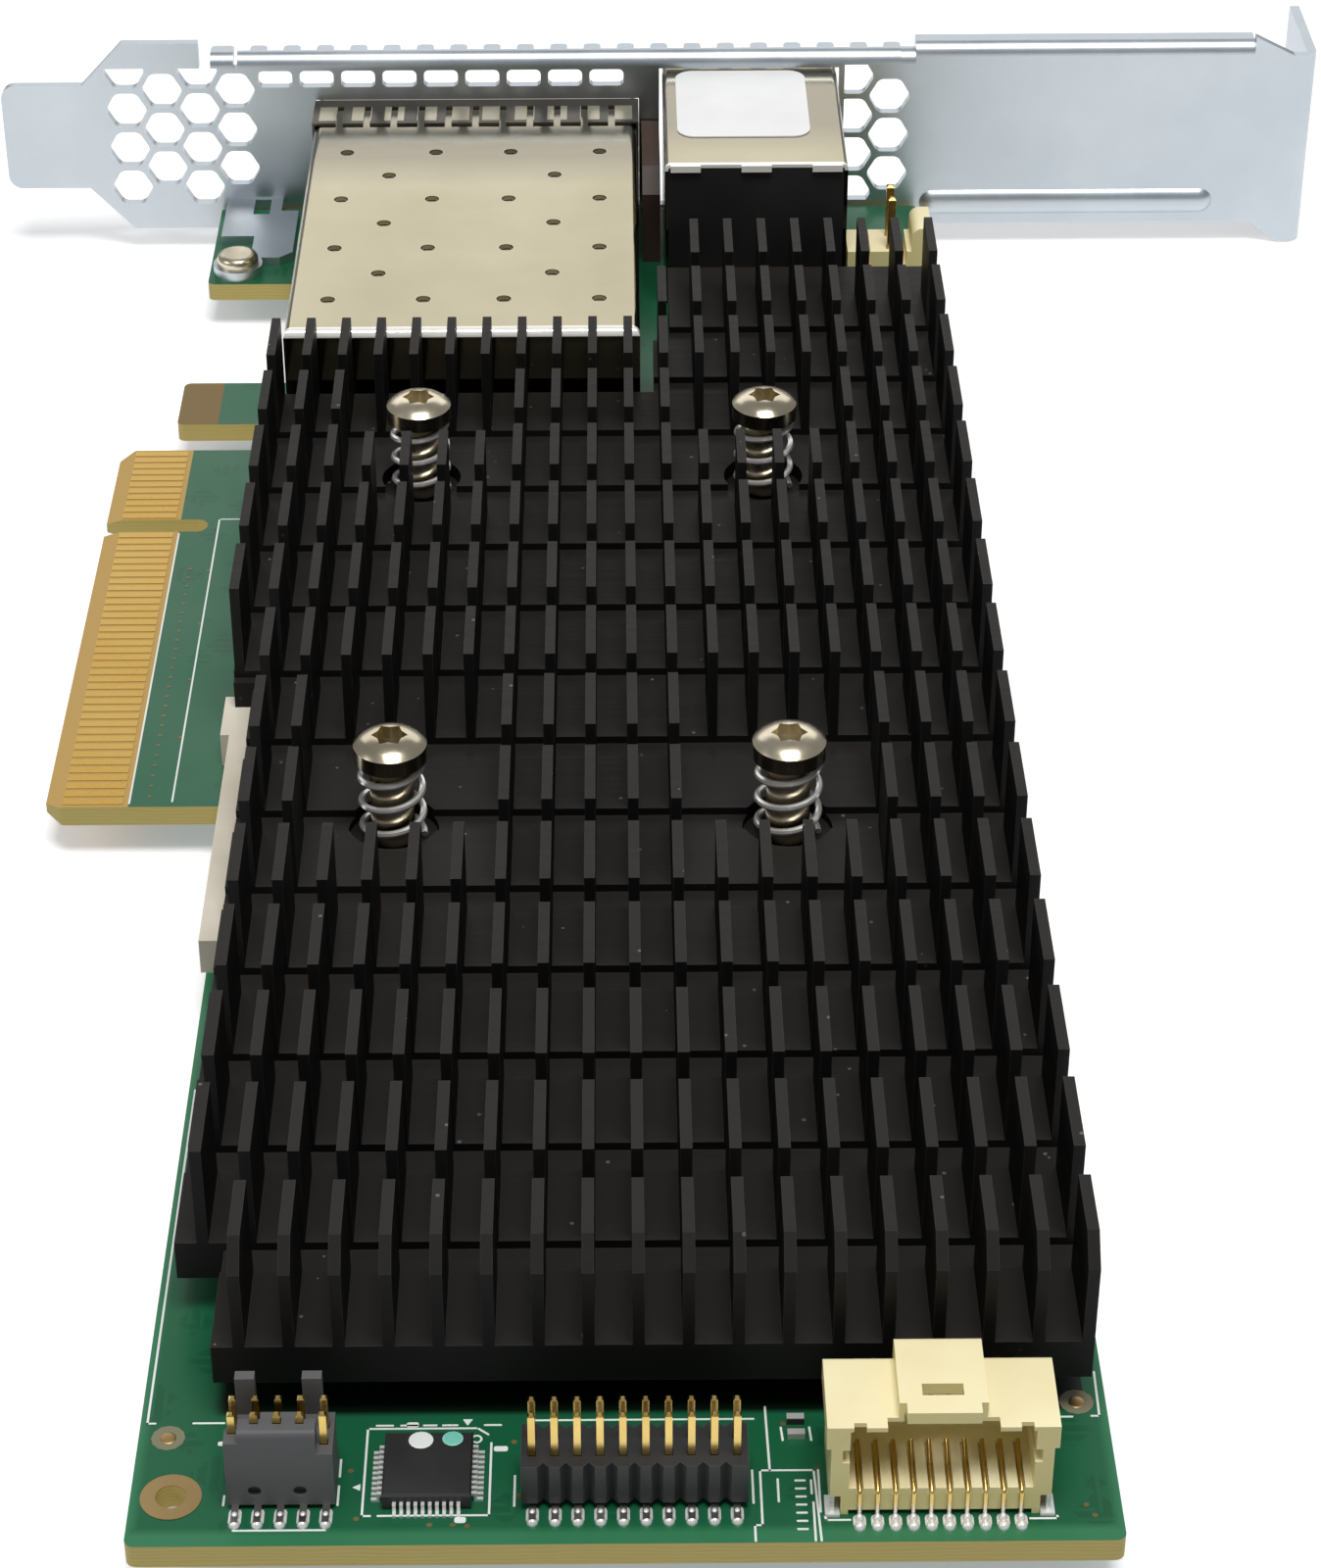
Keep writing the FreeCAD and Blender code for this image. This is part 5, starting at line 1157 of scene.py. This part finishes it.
def makeWireContacts():
    size = wireContacts
    body, pins = boxOf("wire_socket_body"), boxOf("wire_socket_pins")
    wire, bend, sill = size["wire"], size["bend"], size["sill"]
    half = wire / 2
    x = pins.left + size["inset"]
    wall, rear = body.front - size["frontGap"], body.back - size["rearInset"]
    low = [(x, pins.front, half), (x, body.front - size["footGap"], half),
           (x, wall, half + bend), (x, wall, sill - bend),
           (x, body.front - size["lipGap"], sill),
           (x, rear - size["slope"], sill), (x, rear, sill + size["kink"])]
    roof, back = pins.top - size["inset"], body.back + size["rearGap"]
    high = [(x, body.front + size["tip"], roof), (x, back - bend, roof),
            (x, back, roof - bend), (x, back, size["footHeight"])]
    first = [bentWire(low, wire), bentWire(high, wire)]
    row = list(first)
    pitch = (pins.right - pins.left - 2 * size["inset"]) / (size["count"] - 1)
    for index in range(1, size["count"]):
        row += [copyTo(piece, index * pitch, 0) for piece in first]
    whole = finish(row, "wire_socket_contacts", made["pinPlating"])
    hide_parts("wire_socket_pins")


fiducials = {
    "places": {"fiducial_left": (15.0, -102.0), "fiducial_right": (67.2, -99.6)},
    "clearing": 1.0,
    "dot": 0.98,
    "dotRise": 0.06,
}


def makeFiducials():
    # a bare copper dot in the middle of each round clearing
    dot = fiducials["dot"]
    for name, (x, y) in fiducials["places"].items():
        finish([makeVia(x, y, fiducials["clearing"])], name + "_clearing",
               made["bareLaminate"])
        finish([makeMound(x, y, dot, dot, fiducials["dotRise"])], name + "_dot",
               made["bareCopper"])


cageLiner = {
    "inset": 1.0,
    "sheet": 0.12,
    "below": 0.55,   # from the cover's top down to the liner
    "corner": 0.4,
}


def makeCageLiner():
    # a thin plate just under the cover, seen through its round holes
    cover = boxOf("module_cage_cover")
    inset, sheet = cageLiner["inset"], cageLiner["sheet"]
    plate = addPlate("cageLiner", ((cover.left + cover.right) / 2, (cover.front + cover.back) / 2,
                                   cover.top - cageLiner["below"] - sheet / 2),
                     (cover.right - cover.left - 2 * inset,
                      cover.back - cover.front - 2 * inset, sheet), cageLiner["corner"])
    finish([plate], "module_cage_liner", made["greySheet"])


lipBridge = {
    "startX": 67.0,
    "endX": 68.45,
    "innerY": 57.74,
    "sheet": 0.9,
    "bend": 1.2,
    "drop": 1.3,
    "flat": 0.25,
    "steps": 8,
    "weld": 0.001,
    "smoothAngle": 30,
}


def makeLipBridge():
    # the narrow neck that joins the comb to the plain lip: a strip turned through the bend
    size = lipBridge
    top = boxOf("mounting_bracket").top - size["drop"]
    middleX = (size["startX"] + size["endX"]) / 2 * mm
    bend, sheet = size["bend"], size["sheet"]
    low = (top - bend) * mm
    clearSelection()
    bpy.ops.mesh.primitive_plane_add(
        size=1, location=(middleX, (size["innerY"] + sheet / 2) * mm, low))
    neck = takeNew("lipBridge")
    neck.scale = ((size["endX"] - size["startX"]) * mm, sheet * mm, 1)
    applyPlace(neck)
    selectOnly(neck)
    bpy.ops.object.mode_set(mode="EDIT")
    bpy.ops.mesh.select_all(action="SELECT")
    bpy.ops.mesh.spin(steps=size["steps"], angle=math.pi / 2, axis=(1, 0, 0),
                      center=(middleX, (size["innerY"] + bend) * mm, low))
    bpy.ops.mesh.extrude_region_move(
        TRANSFORM_OT_translate={"value": (0, size["flat"] * mm, 0)})
    bpy.ops.mesh.select_all(action="SELECT")
    bpy.ops.mesh.remove_doubles(threshold=size["weld"] * mm)
    bpy.ops.mesh.normals_make_consistent(inside=False)
    smoothUpTo(size["smoothAngle"])
    finish([neck], "bracket_lip_neck", made["zincBracket"])


paintDots = {
    "rise": 0.05,
    "backShare": 0.52,    # of its size, from the chip's back edge to the dot's middle
    "stretch": 1.05,
    "white": dict(x=29.55, size=1.35, material="whiteInk"),
    "teal": dict(x=31.35, size=1.15, material="tealPaint"),
}


def paintChip():
    chip = boxOf("small_controller_body")
    for label in ("white", "teal"):
        look = paintDots[label]
        size = look["size"]
        dot = makeMound(look["x"], chip.back - size * paintDots["backShare"],
                        size * paintDots["stretch"], size, paintDots["rise"])
        dot.location.z = chip.top * mm
        finish([dot], "chip_paint_" + label, made[look["material"]])


print("board details")
makeFrontInk()
makeSideInk()
makeVias()
makeSolderJoints()
makeWireContacts()
makeFiducials()
paintChip()
makeCageLiner()
makeLipBridge()


lamps = {
    "overhead": dict(place=(0.08, -0.22, 0.75), target=(0.04, -0.02, 0), size=(0.34, 0.28),
                     power=4.4),
    "fromBehind": dict(place=(0.02, 0.80, 0.48), target=(0.04, 0, 0), size=(1.2, 0.42),
                       power=1.9),
    "fromLeft": dict(place=(-0.60, -0.20, 0.45), target=(0.04, 0, 0), size=(0.3, 0.3),
                     power=0.7),
}

studio = {
    "floorX": 0.04,
    "floorZ": -4.25,
    "floorSize": 6.0,
    "floorTones": (0.90, 0.93),
    "floorRough": 0.9,
    "floorGrain": (3, 300),
    "floorGlow": 0.30,
    "worldColour": (0.95, 0.96, 1.0, 1),
    "worldStrength": 0.30,
    "cameraPlace": (41.09, -256.47, 152.45),
    "azimuth": 0.0031,
    "elevation": -0.5853,
    "roll": -0.0048,
    "lens": 85.49,
    "sensor": 36,
    "shift": (0.0199, -0.0502),
    "nearest": 0.01,
}


def makeFloor():
    clearSelection()
    bpy.ops.mesh.primitive_plane_add(size=studio["floorSize"],
                                     location=(studio["floorX"], 0, studio["floorZ"] * mm))
    floor = takeNew("studio_floor")
    material, g = newMaterial("paleFloor", Roughness=studio["floorRough"],
                              Emission_Color=(1, 1, 1, 1), Emission_Strength=studio["floorGlow"])
    broad = grainOn(g, *studio["floorGrain"])[0]
    g.give("Base Color", g.blend(g.ramp(broad, *cloud), *studio["floorTones"]))
    floor.data.materials.append(material)
    floor.visible_diffuse = False  # a pale floor that doesn't fill the shadows


def addLight(name, place, target, size, power):
    light = bpy.data.lights.new(name, "AREA")
    light.shape = "RECTANGLE"
    light.size, light.size_y = size
    light.energy = power
    lamp = bpy.data.objects.new(name, light)
    bpy.context.collection.objects.link(lamp)
    lamp.location = place
    lamp.rotation_euler = (Vector(target) - Vector(place)).to_track_quat("-Z", "Y").to_euler()


def makeCamera():
    camera = bpy.data.cameras.new("camera")
    camera.lens = studio["lens"]
    camera.sensor_width = studio["sensor"]
    camera.shift_x, camera.shift_y = studio["shift"]
    camera.clip_start = studio["nearest"]
    holder = bpy.data.objects.new("camera", camera)
    bpy.context.collection.objects.link(holder)
    turn = (Matrix.Rotation(-studio["azimuth"], 4, "Z")
            @ Matrix.Rotation(math.pi / 2 + studio["elevation"], 4, "X")
            @ Matrix.Rotation(studio["roll"], 4, "Z"))
    holder.matrix_world = Matrix.Translation(Vector(studio["cameraPlace"]) * mm) @ turn
    bpy.context.scene.camera = holder


def makeWorld():
    world = bpy.data.worlds.new("studio")
    world.use_nodes = True
    background = world.node_tree.nodes["Background"].inputs
    background[0].default_value = studio["worldColour"]
    background[1].default_value = studio["worldStrength"]
    bpy.context.scene.world = world


print("studio")
makeFloor()
makeWorld()
makeCamera()
for lampName, lamp in lamps.items():
    addLight(lampName, **lamp)
bpy.context.scene.view_settings.view_transform = "Standard"
